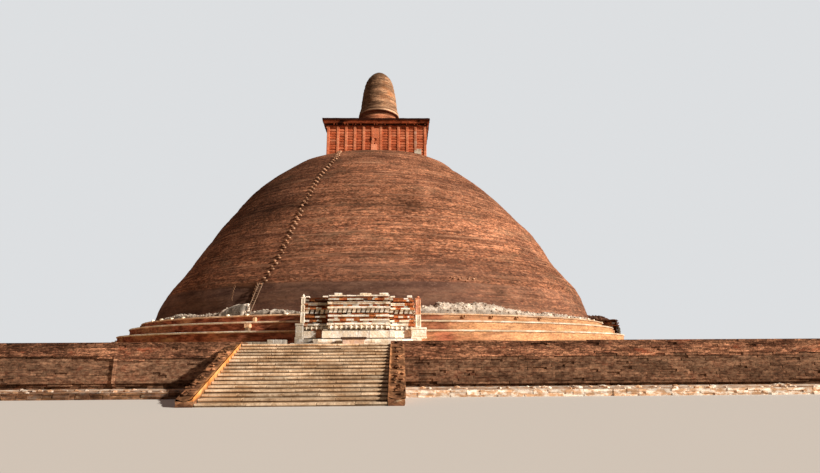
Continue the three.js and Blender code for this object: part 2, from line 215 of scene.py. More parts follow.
# Climbing blocks: height and bearing of their line, pitch, and distance of a row from the line
CLIMB_LINE = (
    (12.4, -20.5), (14.2, -20), (15.8, -19.5), (17.7, -19), (22.9, -18.7), (34, -18.4),
    (36.5, -17.6), (39.7, -16.6), (42, -17.1), (43.6, -19), (45.2, -22.5),
)
CLIMB_PITCH = 0.56
CLIMB_APART = 0.27

# How far right of the crown's middle the enclosure's masonry and the spire stand
HARMIKA_SHIFT = 0.12
SPIRE_SHIFT = 0.1
# Square enclosure: left edges of the posts of one face from its middle, their width, pitch of the
# rails, pieces in a post, and number of the paler post
POST_LEFTS = (-11.5, -9.27, -7.37, -5.35, -3.3, -1.27, 0.65, 2.72, 4.73, 6.74, 8.66, 10.88)
POST_WIDTH = 0.62
RAIL_PITCH = 0.64
POST_PIECES = 10
PALE_POST = 10
# Gaps between posts: the one filled by the emblem, and the broken one with its heights
EMBLEM_GAP = 5
BROKEN_GAP = (4, 49.4, 50.8)
# Patches of one face: left, right, foot, top, depth behind the front, tone and kind
HARMIKA_PATCHES = (
    (-0.66, 0.66, HARMIKA_SEAT, 47.3, 0.1, 0.5, 0.4), (-1.3, 0.1, 47.3, 48.8, -0.02, 0.64, 1.2),
    (-1.42, -1.1, 49.75, 50.5, -0.03, 0.0, 0.0), (0.1, 0.66, 47.3, 48.8, 0.08, 0.5, 0.4),
    (-0.4, 0.66, 48.85, 49.15, 0.1, 0.5, 0.4), (-0.66, 0.66, 49.15, 49.7, 0.08, 0.5, 0.4),
    (-0.08, 0.66, 49.7, 50.35, 0.08, 0.5, 0.4), (-0.66, -0.5, 49.7, 50.1, 0.08, 0.5, 0.4),
    (-0.66, 0.66, 50.35, HARMIKA_TOP, 0.08, 0.54, 0.5), (8.7, 10.3, 45.0, 47.7, 0.02, 0.5, 2.0),
)
CORNICE_COLUMNS = 40
# Cornice section: reach beyond its half width, and height above its foot or its top
CORNICE_FLARE = (
    (-1.3, 0), (-1.1, 0), (-1.1, 0.48), (-0.6, 0.5), (-0.56, 0.62), (-0.95, 0.66), (-0.95, 0.94),
    (-0.4, 0.96), (-0.34, 1.04), (-0.14, 1.66),
)
CORNICE_SLAB = ((-0.12, -0.5), (0, -0.48), (0, -0.02), (-0.3, 0), (-3, 0), (-7, 0.05))

# Spire: bearing and reach of its side darkened with painted shade, and heights over which its top
# darkens
SPIRE_COLUMNS = 144
SHADED_SIDE = (-62, 52)
DARK_TOP = (69, 73)
# Reach of the drum beyond its core by height over its foot, and radius of the ring by height
DRUM_OUTLINE = (
    (0, 0), (0, 1.7), (0, 3.6), (-0.05, 4.4), (-0.25, 4.75), (-0.9, 4.9), (-0.9, 5.6), (-0.6, 5.75),
)
SPIRE_RING = (
    (4.9, 0), (5.2, 0.1), (5.26, 0.35), (5.2, 0.62), (5.02, 0.8), (5.1, 1.0), (5.08, 1.2),
    (4.94, 1.4), (4.88, 1.7),
)
# Bands of the drum and of the spire: from and to above the foot, kind, and change of tone
# Painted light: the drum's flare is lightened as a highlight, and its neck darkened as shade under the
# ring.
DRUM_BANDS = ((2.5, 4.85, -0.5, 0.12), (4.7, 5.9, -0.6, -0.55))
# Painted shade: the spire's bands under its ring and in the crease of the ring are darkened.
SPIRE_BANDS = (
    (0, 0.12, -0.5, -0.3), (0.14, 0.66, 0.8, 0.1), (0.68, 0.9, 0, -0.2), (0.92, 1.3, 0.6, 0.06),
)

# Camera of the photograph: place, angles in degrees, lens and sensor in millimetres
CAMERA_PLACE = (5.001, -118.375, 2.506)
CAMERA_PITCH = 12.886
CAMERA_YAW = 1.229
CAMERA_ROLL = -0.347
CAMERA_LENS = 21.776
SENSOR_WIDTH = 36.0

# Light: bearing and height of the key light, its strength, softness and colour
KEY_BEARING = 64
KEY_HEIGHT = 25
KEY_STRENGTH = 5.5
KEY_SPREAD = 2
KEY_COLOUR = (1.0, 0.93, 0.84)
# The studio: glow from all round, brightness behind the building, and floor
STUDIO_GLOW = 0.15
GLOW_COLOUR = (1.0, 0.76, 0.69, 1.0)
STUDIO_BRIGHTNESS = 0.82
BACKDROP_COLOUR = (0.88, 0.9, 0.92, 1.0)
FLOOR_SIZE = 600
FLOOR_COLOUR = "dcd8d2"


# Random numbers and noise

# Whole numbers that mix those of a cell with a seed
CELL_FACTORS = (73856093, 19349663, 83492791)
SEED_FACTOR = 2654435761
MIX_FACTOR = 0x45D9F3B
LOW_BITS = 0xFFFFFFFF


def dice(seed):
    """A repeatable source of random numbers."""
    return np.random.default_rng(seed)


def scatter(cells, seed):
    """One repeatable random value from 0 to 1 for each cell of whole numbers."""
    code = np.bitwise_xor.reduce(cells * CELL_FACTORS, axis=-1)
    code = (code + seed * SEED_FACTOR) & LOW_BITS
    for _ in range(2):
        code = ((code ^ (code >> 16)) * MIX_FACTOR) & LOW_BITS
    return (code ^ (code >> 16)) / LOW_BITS


def noise(points, cell, seed):
    """Smooth noise from -1 to 1 at (..., 3) points, over cells of that size."""
    spot = np.asarray(points, float) / np.asarray(cell, float)
    base = np.floor(spot).astype(np.int64)
    part = spot - base
    part = part * part * (3 - 2 * part)
    total = 0
    for corner in itertools.product((0, 1), repeat=3):
        weight = np.prod(np.where(corner, part, 1 - part), axis=-1)
        total = total + weight * scatter(base + np.array(corner), seed)
    return total * 2 - 1


def ease(value, low, high):
    """Smooth rise from 0 at low to 1 at high."""
    share = np.clip((np.asarray(value, float) - low) / (high - low), 0, 1)
    return share * share * (3 - 2 * share)


def split(length, shortest, longest, random):
    """Joints from 0 to length, with stretches of random size between them."""
    joints = [0.0]
    while joints[-1] < length - longest:
        joints.append(joints[-1] + random.uniform(shortest, longest))
    if len(joints) > 1 and length - joints[-1] < shortest / 2:
        joints.pop()
    return np.array([*joints, length])


# Points

def joined(*parts):
    """Parts of any matching shapes side by side, as the coordinates of points."""
    return np.stack(np.broadcast_arrays(*parts), axis=-1)


def travelled(path):
    """Length along a flat path up to each of its points."""
    return np.concatenate([[0], np.cumsum(np.hypot(*np.diff(path, axis=0).T))])


def reading(value, line):
    """Second number of a line of pairs, wherever its first number is the value."""
    return np.interp(value, *np.transpose(line))


def directions(angle):
    """Directions out and along at an angle round from the front."""
    out = joined(np.sin(angle), -np.cos(angle), 0)
    return out, joined(np.cos(angle), np.sin(angle), 0)


# Meshes

def placed(name, data):
    """Puts an object with that data into the scene."""
    item = bpy.data.objects.new(name, data)
    bpy.context.scene.collection.objects.link(item)
    return item


class Draft:
    """Points and faces of one piece, in metres of the real building.

    Every point has a tone, from 0 dark to 1 bright, a kind, from 0 brick to 1 stone, and a place
    in the brick bond, which is its X and Z unless another is given.
    """

    def __init__(self):
        self.points = []
        self.faces = [np.empty((0, 4), int)], [np.empty((0, 3), int)]
        self.notes = []
        self.count = 0

    def add(self, points, quads=(), triangles=(), tone=0.5, kind=0.0, bond=None):
        """Adds points with their notes, and faces that count from the first of them."""
        points = np.asarray(points, float)
        place = points[..., [0, 2]] if bond is None else bond
        notes = [np.broadcast_to(note, points.shape[:-1]) for note in (tone, kind)]
        self.notes.append(joined(*notes, place[..., 0], place[..., 1]).reshape(-1, 4))
        self.points.append(points.reshape(-1, 3))
        for kept, faces, corners in zip(self.faces, (quads, triangles), (4, 3)):
            kept.append(np.asarray(faces, int).reshape(-1, corners) + self.count)
        self.count += len(self.points[-1])
        return self

    def take(self, other):
        """Adds all of another draft."""
        for kept, added in zip(self.faces, other.faces):
            kept += [faces + self.count for faces in added]
        self.points += other.points
        self.notes += other.notes
        self.count += other.count
        return self

    def quarter_turned(self, index):
        """Turns all of it about Z by quarter turns."""
        turn = np.array(Matrix.Rotation(index * math.pi / 2, 3, "Z"))
        self.points = [points @ turn.T for points in self.points]
        return self

    def moved(self, x):
        """Moves all of it to the right."""
        self.points = [points + [x, 0, 0] for points in self.points]
        return self

    def piece(self, name, material, slot, replaces=(), smooth=False):
        """Makes it a piece of the model, shown in place of the solids that it replaces."""
        points = np.concatenate(self.points) * REAL
        quads, triangles = (np.concatenate(faces) for faces in self.faces)
        notes = np.concatenate(self.notes)
        corners = np.concatenate([quads.ravel(), triangles.ravel()]).astype(np.int32)
        starts = [np.arange(len(quads)) * 4, quads.size + np.arange(len(triangles)) * 3]
        starts = np.concatenate(starts).astype(np.int32)
        mesh = bpy.data.meshes.new(name)
        mesh.vertices.add(len(points))
        mesh.vertices.foreach_set("co", points.astype(np.float32).ravel())
        mesh.loops.add(len(corners))
        mesh.loops.foreach_set("vertex_index", corners)
        mesh.polygons.add(len(starts))
        mesh.polygons.foreach_set("loop_start", starts)
        mesh.polygons.foreach_set("use_smooth", np.full(len(starts), smooth))
        for column, note in enumerate(("tone", "kind")):
            values = notes[:, column].astype(np.float32)
            mesh.attributes.new(note, "FLOAT", "POINT").data.foreach_set("value", values)
        bond = np.column_stack([notes[:, 2:], np.zeros(len(notes))]).astype(np.float32)
        mesh.attributes.new("bond", "FLOAT_VECTOR", "POINT").data.foreach_set("vector", bond.ravel())
        mesh.update(calc_edges=True)
        mesh.validate()
        mesh.materials.append(material)
        piece = placed(name, mesh)
        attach(piece, BODY)
        if replaces:
            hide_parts(*replaces)


def grid_faces(rows, columns, wrap_rows=False, wrap_columns=False):
    """Quads between the points of a grid, facing columns x rows."""
    index = np.arange(rows * columns).reshape(rows, columns)
    if wrap_rows:
        index = np.vstack([index, index[:1]])
    if wrap_columns:
        index = np.hstack([index, index[:, :1]])
    corners = [index[:-1, :-1], index[:-1, 1:], index[1:, 1:], index[1:, :-1]]
    return np.stack(corners, axis=-1).reshape(-1, 4)


def shell(points, wrap_rows=False, **notes):
    """A (rows, columns, 3) grid of points, closed round its columns."""
    return Draft().add(points, grid_faces(*points.shape[:2], wrap_rows, True), **notes)


def run(draft, points, **notes):
    """Adds a solid that runs along the columns, with its sections closed over the rows."""
    rows, columns = points.shape[:2]
    count = rows * columns
    ring = np.arange(rows) * columns
    following = np.roll(ring, -1)
    first = joined(ring, following, count)
    last = joined(following, ring, count + 1) + [columns - 1, columns - 1, 0]
    flat = {}
    for name, note in notes.items():
        width = (2,) if name == "bond" else ()
        note = np.broadcast_to(note, (rows, columns, *width))
        flat[name] = np.concatenate([note.reshape(count, *width), note[0, [0, -1]]])
    faces = grid_faces(rows, columns, wrap_rows=True), np.concatenate([first, last])
    points = np.concatenate([points.reshape(-1, 3), points[:, [0, -1]].mean(0)])
    return draft.add(points, *faces, **flat)


def around(profile, bearings, radial=0.0, middle=0.0):
    """Turns points of radius and height about Z, with extra radius for each point."""
    radius = profile[:, :1] + radial
    angle = np.radians(bearings)
    return joined(middle + radius * np.sin(angle), -radius * np.cos(angle), profile[:, 1:2])


def full_circle(count):
    """Bearings of evenly spaced points all round."""
    return np.arange(count) * 360 / count


def smooth_path(points, count):
    """Evenly spaced points on a smooth curve through the given ones."""
    points = np.asarray(points, float)
    ends = 2 * points[[0, -1]] - points[[1, -2]]
    padded = np.vstack([ends[0], points, ends[1]])
    share = np.linspace(0, 1, 16, endpoint=False)[:, None]
    dense = []
    for a, b, c, d in zip(padded, padded[1:], padded[2:], padded[3:]):
        bend = (2 * a - 5 * b + 4 * c - d) * share**2 + (3 * b - a - 3 * c + d) * share**3
        dense.append(b + ((c - a) * share + bend) / 2)
    dense = np.vstack([*dense, points[-1:]])
    steps = np.linalg.norm(np.diff(dense, axis=0), axis=1)
    travelled = np.concatenate([[0], np.cumsum(steps)])
    wanted = np.linspace(0, travelled[-1], count)
    return np.column_stack([np.interp(wanted, travelled, axis) for axis in dense.T])


def block_template():
    """Corner signs, cut axes, quads and triangles of a box with cut edges, facing outwards."""
    corners = list(itertools.product((-1, 1), repeat=3))
    number = {key: index for index, key in enumerate(itertools.product(corners, range(3)))}
    signs = np.array([corner for corner, _ in number], float)
    kept = np.array([[axis == whole for axis in range(3)] for _, whole in number])
    faces = []
    for axis in range(3):
        first, second = (other for other in range(3) if other != axis)
        for side in (-1, 1):
            ring = []
            for a, b in ((-1, -1), (1, -1), (1, 1), (-1, 1)):
                corner = {axis: side, first: a, second: b}
                ring.append(number[tuple(corner[key] for key in range(3)), axis])
            faces.append(ring)
        for a, b in itertools.product((-1, 1), repeat=2):
            low = {axis: -1, first: a, second: b}
            high = {axis: 1, first: a, second: b}
            low, high = (tuple(ends[key] for key in range(3)) for ends in (low, high))
            keys = [(low, first), (high, first), (high, second), (low, second)]
            faces.append([number[key] for key in keys])
    faces += [[number[corner, axis] for axis in range(3)] for corner in corners]
    places = signs * np.where(kept, 1.0, 0.8)
    for face in faces:
        spots = places[face]
        if np.cross(spots[1] - spots[0], spots[2] - spots[0]) @ spots.mean(0) < 0:
            face.reverse()
    quads = np.array([face for face in faces if len(face) == 4])
    triangles = np.array([face for face in faces if len(face) == 3])
    return signs, ~kept, quads, triangles


BLOCK_SIGNS, BLOCK_CUTS, BLOCK_QUADS, BLOCK_TRIANGLES = block_template()


def each(notes, shape):
    """Notes of single things, spread over the points of each of them."""
    return {name: np.reshape(np.broadcast_to(note, shape[:1]), shape) for name, note in notes.items()}


def blocks(draft, middles, sizes, bearing=0.0, tilt=0.0, cut=0.03, rough=0.0, seed=1, **notes):
    """Adds a box with cut edges at each middle.

    A box is tilted back about its own X by tilt and then turned about Z by bearing, in degrees.
    """
    middles = np.atleast_2d(np.asarray(middles, float))
    count = len(middles)
    half = np.broadcast_to(np.asarray(sizes, float), (count, 3))[:, None] / 2
    cut = np.minimum(np.broadcast_to(np.asarray(cut, float), (count,))[:, None, None], half * 0.7)
    local = BLOCK_SIGNS * (half - cut * BLOCK_CUTS)
    local = local + dice(seed).uniform(-rough, rough, local.shape)
    lean, turn = (np.radians(np.broadcast_to(way, (count,)))[:, None] for way in (tilt, bearing))
    x, y, z = np.moveaxis(local, -1, 0)
    y, z = y * np.cos(lean) - z * np.sin(lean), y * np.sin(lean) + z * np.cos(lean)
    x, y = x * np.cos(turn) - y * np.sin(turn), x * np.sin(turn) + y * np.cos(turn)
    starts = (np.arange(count) * len(BLOCK_SIGNS))[:, None, None]
    faces = BLOCK_QUADS + starts, BLOCK_TRIANGLES + starts
    return draft.add(joined(x, y, z) + middles[:, None], *faces, **each(notes, (count, 1)))


def bars(draft, starts, ends, outlines, lean=0.0, **notes):
    """Draws a closed outline of [out, up] points along each line, out being to its right."""
    starts, ends = np.atleast_2d(starts).astype(float), np.atleast_2d(ends).astype(float)
    count = len(starts)
    outlines = np.broadcast_to(outlines, (count, *np.shape(outlines)[-2:]))
    size = outlines.shape[1]
    along = ends - starts
    along = along / np.linalg.norm(along, axis=1, keepdims=True)
    out = joined(along[:, 1], -along[:, 0], 0)
    up = along[:, None] * lean + [0, 0, 1]
    offset = outlines[..., :1] * out[:, None] + outlines[..., 1:] * up
    points = np.stack([starts[:, None] + offset, ends[:, None] + offset], axis=2)
    faces = grid_faces(size, 2, wrap_rows=True)
    fan = joined(0, np.arange(1, size - 1), np.arange(2, size)) * 2
    caps = np.concatenate([fan, fan[:, ::-1] + 1])
    first = (np.arange(count) * size * 2)[:, None, None]
    return draft.add(points, faces + first, caps + first, **each(notes, (count, 1, 1)))


def pebbles(draft, middles, sizes, columns, rows, rough, seed, **notes):
    """Adds a rounded stone or knob, half the given sizes each way, at each middle."""
    middles = np.atleast_2d(np.asarray(middles, float))
    count = len(middles)
    half = np.broadcast_to(np.asarray(sizes, float), (count, 3))[:, None, None] / 2
    rise = np.linspace(-0.49, 0.49, rows) * math.pi
    ball = around(joined(np.cos(rise), np.sin(rise)), full_circle(columns))
    wobble = 1 + dice(seed).uniform(-rough, rough, (count, rows, columns, 1))
    points = middles[:, None, None] + ball * half * wobble
    faces = grid_faces(rows, columns, wrap_columns=True)
    first = (np.arange(count) * rows * columns)[:, None, None]
    return draft.add(points, faces + first, **each(notes, (count, 1, 1)))


# Finishes

def colour(code):
    """Linear colour of an sRGB hex code."""
    shares = [int(code[index : index + 2], 16) / 255 for index in (0, 2, 4)]
    bright = [((share + 0.055) / 1.055) ** 2.4 for share in shares]
    return (*(a if share > 0.04 else share / 12.92 for a, share in zip(bright, shares)), 1.0)


class Finish:
    """A procedural material, with short ways to add the nodes that the masonry needs."""

    def __init__(self, name, roughness=1.0, metallic=0.0, gloss=0.04):
        self.material = bpy.data.materials.new(name)
        self.material.use_nodes = True
        self.tree = self.material.node_tree
        self.shader = self.tree.nodes["Principled BSDF"]
        self.shader.inputs["Roughness"].default_value = roughness
        self.shader.inputs["Metallic"].default_value = metallic
        self.shader.inputs["Specular IOR Level"].default_value = gloss
        self.places = self.node("ShaderNodeTexCoord").outputs["Object"]
        self.noises = 0

    def feed(self, value, socket):
        """Links a socket's value or sets a plain one."""
        if isinstance(value, bpy.types.NodeSocket):
            self.tree.links.new(value, socket)
        else:
            socket.default_value = value

    def node(self, kind, inputs=None, **settings):
        """A new node with those inputs and settings."""
        node = self.tree.nodes.new(kind)
        for key, value in settings.items():
            setattr(node, key, value)
        for key, value in (inputs or {}).items():
            self.feed(value, node.inputs[key])
        return node

    def note(self, name):
        """A value that the mesh holds for each point."""
        return self.node("ShaderNodeAttribute", attribute_name=name).outputs["Fac"]

    def ramp(self, value, low, high, start=0.0, end=1.0):
        """Smooth change from start to end as the value goes from low to high."""
        bounds = {"Value": value, "From Min": low, "From Max": high, "To Min": start, "To Max": end}
        return self.node("ShaderNodeMapRange", bounds, interpolation_type="SMOOTHSTEP").outputs[0]

    def noise(self, size, low=0.35, high=0.65, flat=1.0, detail=5, top=1.0, low_end=0.0):
        """Noise from low_end to top over cells of that many real metres, flat times as tall."""
        self.noises += 1
        scale = [1 / (REAL * size), 1 / (REAL * size), 1 / (REAL * size * flat)]
        shift = [self.noises * step for step in (17.3, 9.1, 23.7)]
        placing = {"Vector": self.places, "Scale": scale, "Location": shift}
        placed = self.node("ShaderNodeMapping", placing).outputs[0]
        look = {"Vector": placed, "Scale": 1.0, "Detail": detail, "Roughness": 0.6}
        return self.ramp(self.node("ShaderNodeTexNoise", look).outputs[0], low, high, low_end, top)

    def times(self, first, second):
        """Product of two values."""
        return self.node("ShaderNodeMath", {0: first, 1: second}, operation="MULTIPLY").outputs[0]

    def mix(self, share, first, second):
        """Colour that goes from the first to the second as share goes from 0 to 1."""
        inputs = {0: share, 6: first, 7: second}
        return self.node("ShaderNodeMix", inputs, data_type="RGBA").outputs[2]

    def pair(self, dull, bright, size, low=0.35, high=0.65, flat=1.0, detail=5):
        """Two colours, in patches of a size."""
        return self.mix(self.noise(size, low, high, flat, detail), colour(dull), colour(bright))

    def stained(self, base, *stains):
        """The colour under patches of others: size, low, high, flat, share and code of each."""
        for size, low, high, flat, share, code in stains:
            base = self.mix(self.noise(size, low, high, flat, top=share), base, colour(code))
        return base

    def light(self, base, level):
        """The colour made darker or lighter by a level around 1."""
        return self.node("ShaderNodeHueSaturation", {"Color": base, "Value": level}).outputs[0]

    def bricks(self, width, height, mortar=0.012):
        """The mesh's own brick bond: 1 on its joints, and a random 0 to 1 for each brick."""
        places = self.node("ShaderNodeAttribute", attribute_name="bond").outputs["Vector"]
        sizes = {"Vector": places, "Scale": 1.0, "Mortar Size": mortar, "Brick Width": width}
        greys = {"Color1": (0, 0, 0, 1), "Color2": (1, 1, 1, 1), "Mortar": (0.5, 0.5, 0.5, 1)}
        bond = self.node("ShaderNodeTexBrick", {**sizes, "Row Height": height, **greys})
        return bond.outputs["Fac"], bond.outputs["Color"]

    def bump(self, height, depth, strength=1.0):
        """Raises the surface by depth, in real metres, where the height is 1."""
        settings = {"Height": height, "Distance": depth * REAL, "Strength": strength}
        node = self.node("ShaderNodeBump", settings)
        normal = self.shader.inputs["Normal"]
        if normal.is_linked:
            self.feed(normal.links[0].from_socket, node.inputs["Normal"])
        self.feed(node.outputs[0], normal)

    def toned(self, base, low=0.3, high=1.7):
        """The colour changed by the tone of the mesh's points."""
        return self.light(base, self.ramp(self.note("tone"), 0.0, 1.0, low, high))

    def done(self, base, roughness=None):
        """The material, with that colour."""
        self.feed(base, self.shader.inputs["Base Color"])
        if roughness is not None:
            self.feed(roughness, self.shader.inputs["Roughness"])
        return self.material


def brickwork(
    name, bright, dull, dark, streak=3.0, flat=0.12, stain=0.4, grain=0.6, speck=0.45,
    brick=(0.34, 0.07), tint=0.3, rise=0.6,
):
    """Old brick: bright and dull courses, dark stains, grain, pale specks and its bond."""
    finish = Finish(name)
    base = finish.pair(dull, bright, streak, 0.38, 0.62, flat, 6)
    stains = (streak * 0.4, 0.46, 0.64, 0.25, 0.5, dark), (streak * 4, 0.48, 0.68, 0.5, stain, dark)
    base = finish.stained(base, *stains)
    spots = finish.noise(speck, 0.3, 0.7, 0.55)
    base = finish.light(base, finish.ramp(spots, 0.0, 1.0, 1 - grain / 2, 1 + grain / 2))
    base = finish.stained(base, (speck * 1.5, 0.64, 0.72, 0.35, 0.6, "d9c3a0"))
    joints, shade = finish.bricks(*brick)
    base = finish.light(base, finish.ramp(shade, 0.0, 1.0, 1 - tint, 1 + tint))
    base = finish.mix(finish.times(joints, 0.3), base, colour(dark))
    finish.bump(spots, 0.07 * speck, rise)
    finish.bump(finish.ramp(joints, 0.0, 1.0, 1.0, 0.0), 0.01, 0.5)
    return finish, base


def dome_brick():
    """Brown-orange brick of the dome, with the smoother, darker plastered band at its foot."""
    look = {"streak": 4, "flat": 0.08, "grain": 0.64, "speck": 0.24, "rise": 0.3}
    colours = "b17656", "8c5940", "4c3128"
    finish, base = brickwork("dome_brick", *colours, **look, brick=(0.5, 0.21), tint=0.5)
    stains = (
        (1.3, 0.54, 0.68, 0.6, 0.35, "4a2f25"), (0.5, 0.5, 0.64, 0.5, 0.3, "4a2f25"),
        (0.45, 0.54, 0.68, 0.45, 0.42, "dba988"), (24, 0.48, 0.6, 0.02, 0.45, "4a2f25"),
        (12, 0.5, 0.62, 0.02, 0.35, "4a2f25"), (16, 0.54, 0.64, 0.02, 0.35, "c79474"),
        (9, 0.54, 0.68, 0.3, 0.35, "75604c"),
    )
    base = finish.stained(base, *stains)
    base = finish.light(base, finish.noise(2.2, 0.38, 0.62, 0.5, low_end=0.86, top=1.14))
    band = finish.pair("5c4238", "7b5c4c", 5, flat=0.25)
    stains = (0.7, 0.5, 0.66, 0.4, 0.4, "3c2920"), (0.5, 0.56, 0.7, 0.4, 0.4, "a58470")
    base = finish.mix(finish.note("kind"), base, finish.stained(band, *stains))
    return finish.done(finish.toned(base))


def wall_brick():
    """Brick of the platform walls: red where it was rebuilt, grey-brown and stained below."""
    look = {"streak": 0.9, "flat": 0.25, "stain": 0.5, "grain": 0.85, "speck": 0.13, "tint": 0.5}
    finish, base = brickwork("wall_brick", "c28a68", "8c5d45", "4a3126", **look)
    stains = (1.5, 0.56, 0.68, 0.5, 0.5, "b4593a"), (0.3, 0.54, 0.66, 0.6, 0.5, "43281d")
    base = finish.stained(base, *stains)
    old = finish.pair("5a3f30", "b08d70", 0.3, flat=0.5)
    old = finish.stained(old, (1.8, 0.54, 0.68, 3.0, 0.7, "463b31"))
    base = finish.mix(finish.times(finish.note("kind"), 0.6), base, old)
    return finish.done(finish.toned(base))


def footing_brick():
    """Brick and rubble of the wall's footing, with pale dust on its top."""
    colours = "a97a56", "7d5640", "4a3326"
    finish, base = brickwork("footing_brick", *colours, 2.0, 0.15, 0.4, 0.8)
    dust = finish.pair("d3aa84", "fdf4e4", 0.4, 0.42, 0.6, 0.5)
    dust = finish.stained(dust, (0.25, 0.56, 0.7, 0.5, 0.6, "94765e"))
    return finish.done(finish.toned(finish.mix(finish.note("kind"), base, dust)))


def terrace_brick():
    """Warm brick and lime of the terraces, with their white stone copings."""
    colours = "ebb787", "d5a173", "94634a"
    finish, base = brickwork("terrace_brick", *colours, 5, 0.12, 0.25, 0.4, 0.3, tint=0.18)
    # The darker red brick, for points of negative kind, is partly painted shade on the terraces' left
    # halves.
    red = finish.pair("7c4531", "c2775a", 1.6, 0.38, 0.62, 0.3)
    red = finish.stained(red, (0.4, 0.52, 0.66, 0.5, 0.5, "4a2a1f"))
    base = finish.mix(finish.ramp(finish.note("kind"), -1.0, 0.0, 1.0, 0.0), base, red)
    lime = finish.pair("cfbda2", "f8f0e0", 1.6, 0.4, 0.65, 0.4)
    lime = finish.stained(lime, (0.8, 0.6, 0.7, 1.0, 0.6, "7d6752"))
    return finish.done(finish.toned(finish.mix(finish.note("kind"), base, lime)))


def cheek_brick():
    """Brick of the walls beside the steps, with orange on the inner edge: remains of plaster, and
    partly a painted highlight.
    """
    colours = "b4805a", "865c42", "4c3529"
    finish, base = brickwork("cheek_brick", *colours, 1.6, 0.3, 0.5, 0.9)
    base = finish.mix(finish.note("kind"), base, finish.pair("d98a48", "f0b070", 1.2))
    return finish.done(finish.toned(base))


def step_stone():
    """Worn tan limestone of the steps."""
    finish = Finish("step_stone")
    base = finish.pair("bd9b78", "e5ccae", 1.5, flat=0.3)
    stains = (
        (0.35, 0.52, 0.7, 1.0, 0.5, "8a6745"), (3.5, 0.52, 0.7, 1.0, 0.4, "977c60"),
        (0.5, 0.62, 0.72, 1.0, 0.6, "f4e2c2"),
    )
    base = finish.toned(finish.stained(base, *stains))
    finish.bump(finish.noise(0.3), 0.02)
    finish.bump(finish.noise(0.06), 0.005)
    return finish.done(base, finish.noise(1.0, 0.2, 0.8, top=0.95))


def altar_masonry():
    """Bricks and carved limestone of the frontispieces, told apart by the mesh's kind."""
    finish = Finish("altar_masonry")
    brick = finish.pair("a9573a", "dc9058", 0.5)
    brick = finish.stained(brick, (0.25, 0.5, 0.68, 1.0, 0.7, "74351f"))
    stone = finish.pair("ecdcc4", "faf4ea", 0.9, 0.4, 0.62)
    stains = (0.35, 0.56, 0.7, 1.0, 0.45, "c8a17c"), (1.4, 0.6, 0.72, 1.0, 0.5, "908576")
    base = finish.mix(finish.note("kind"), brick, finish.stained(stone, *stains))
    base = finish.toned(base, 0.12, 1.75)
    finish.bump(finish.noise(0.25), 0.02)
    finish.bump(finish.noise(0.05), 0.004)
    return finish.done(base, finish.noise(0.6, 0.2, 0.8, top=0.98))


def harmika_brick():
    """Red-orange brick of the square enclosure, paler on its posts, with a few grey stones, and near
    black where the tone is lowest.
    """
    colours = "cf6c45", "b45735", "652f20"
    finish, base = brickwork("harmika_brick", *colours, 3.0, 0.2, 0.3, 0.5)
    kind = finish.note("kind")
    worn = finish.pair("d67a54", "e0946f", 1.5, flat=2.5)
    base = finish.mix(finish.ramp(kind, 0.0, 1.0), base, worn)
    base = finish.stained(base, (1.1, 0.56, 0.72, 6.0, 0.45, "6a3423"))
    base = finish.mix(finish.ramp(kind, 1.0, 2.0), base, finish.pair("a5907c", "d8cbb6", 0.8))
    # Near black at the lowest tones: drips and dark marks, and painted shade in the cornice's recess.
    soot_and_painted_shade = finish.ramp(finish.note("tone"), 0.02, 0.16, 0.85, 0.0)
    return finish.done(finish.mix(soot_and_painted_shade, finish.toned(base), colour("24130e")))


def spire_brick():
    """Grey-brown weathered brick of the spire, with lighter rings; its dark side is painted shade
    carried by the tone.
    """
    colours = "c79a76", "a0765a", "5c4638"
    finish, base = brickwork("spire_brick", *colours, 3.5, 0.14, 0.4, 0.6)
    base = finish.stained(base, (4, 0.5, 0.66, 0.6, 0.5, "b57446"))
    red = finish.pair("a2553a", "cf7a52", 1.5, flat=0.3)
    base = finish.mix(finish.ramp(finish.note("kind"), -1.0, 0.0, 1.0, 0.0), base, red)
    base = finish.mix(finish.note("kind"), base, finish.pair("c69c7c", "dcb795", 2.0))
    return finish.done(finish.toned(base))


def old_plaster():
    """Crumbling grey-white lime plaster and rubble."""
    finish = Finish("old_plaster")
    base = finish.pair("b9a796", "eadccb", 0.6)
    stains = (0.3, 0.5, 0.66, 1.0, 0.5, "86725f"), (1.6, 0.58, 0.7, 1.0, 0.5, "b0836a")
    base = finish.toned(finish.stained(base, *stains))
    finish.bump(finish.noise(0.4), 0.06)
    finish.bump(finish.noise(0.12), 0.02)
    return finish.done(base)


def tan_masonry():
    """Dusty tan mortar and brick of the small things that stand out from the dome."""
    finish = Finish("tan_masonry")
    base = finish.pair("a87a5c", "d3a888", 0.8)
    base = finish.toned(finish.stained(base, (0.2, 0.52, 0.66, 1.0, 0.6, "7a5341")))
    finish.bump(finish.noise(0.15), 0.02)
    return finish.done(base)


def ladder_iron():
    """Weathered iron of the access ladder, gone to pale brown rust in places."""
    finish = Finish("ladder_iron", 0.7, 0.2, 0.3)
    base = finish.pair("b3987f", "8a6e59", 0.3)
    base = finish.stained(base, (0.12, 0.5, 0.65, 1.0, 0.6, "86583c"))
    finish.bump(finish.noise(0.08), 0.004)
    return finish.done(base, finish.noise(0.2, 0.2, 0.8, top=0.85))


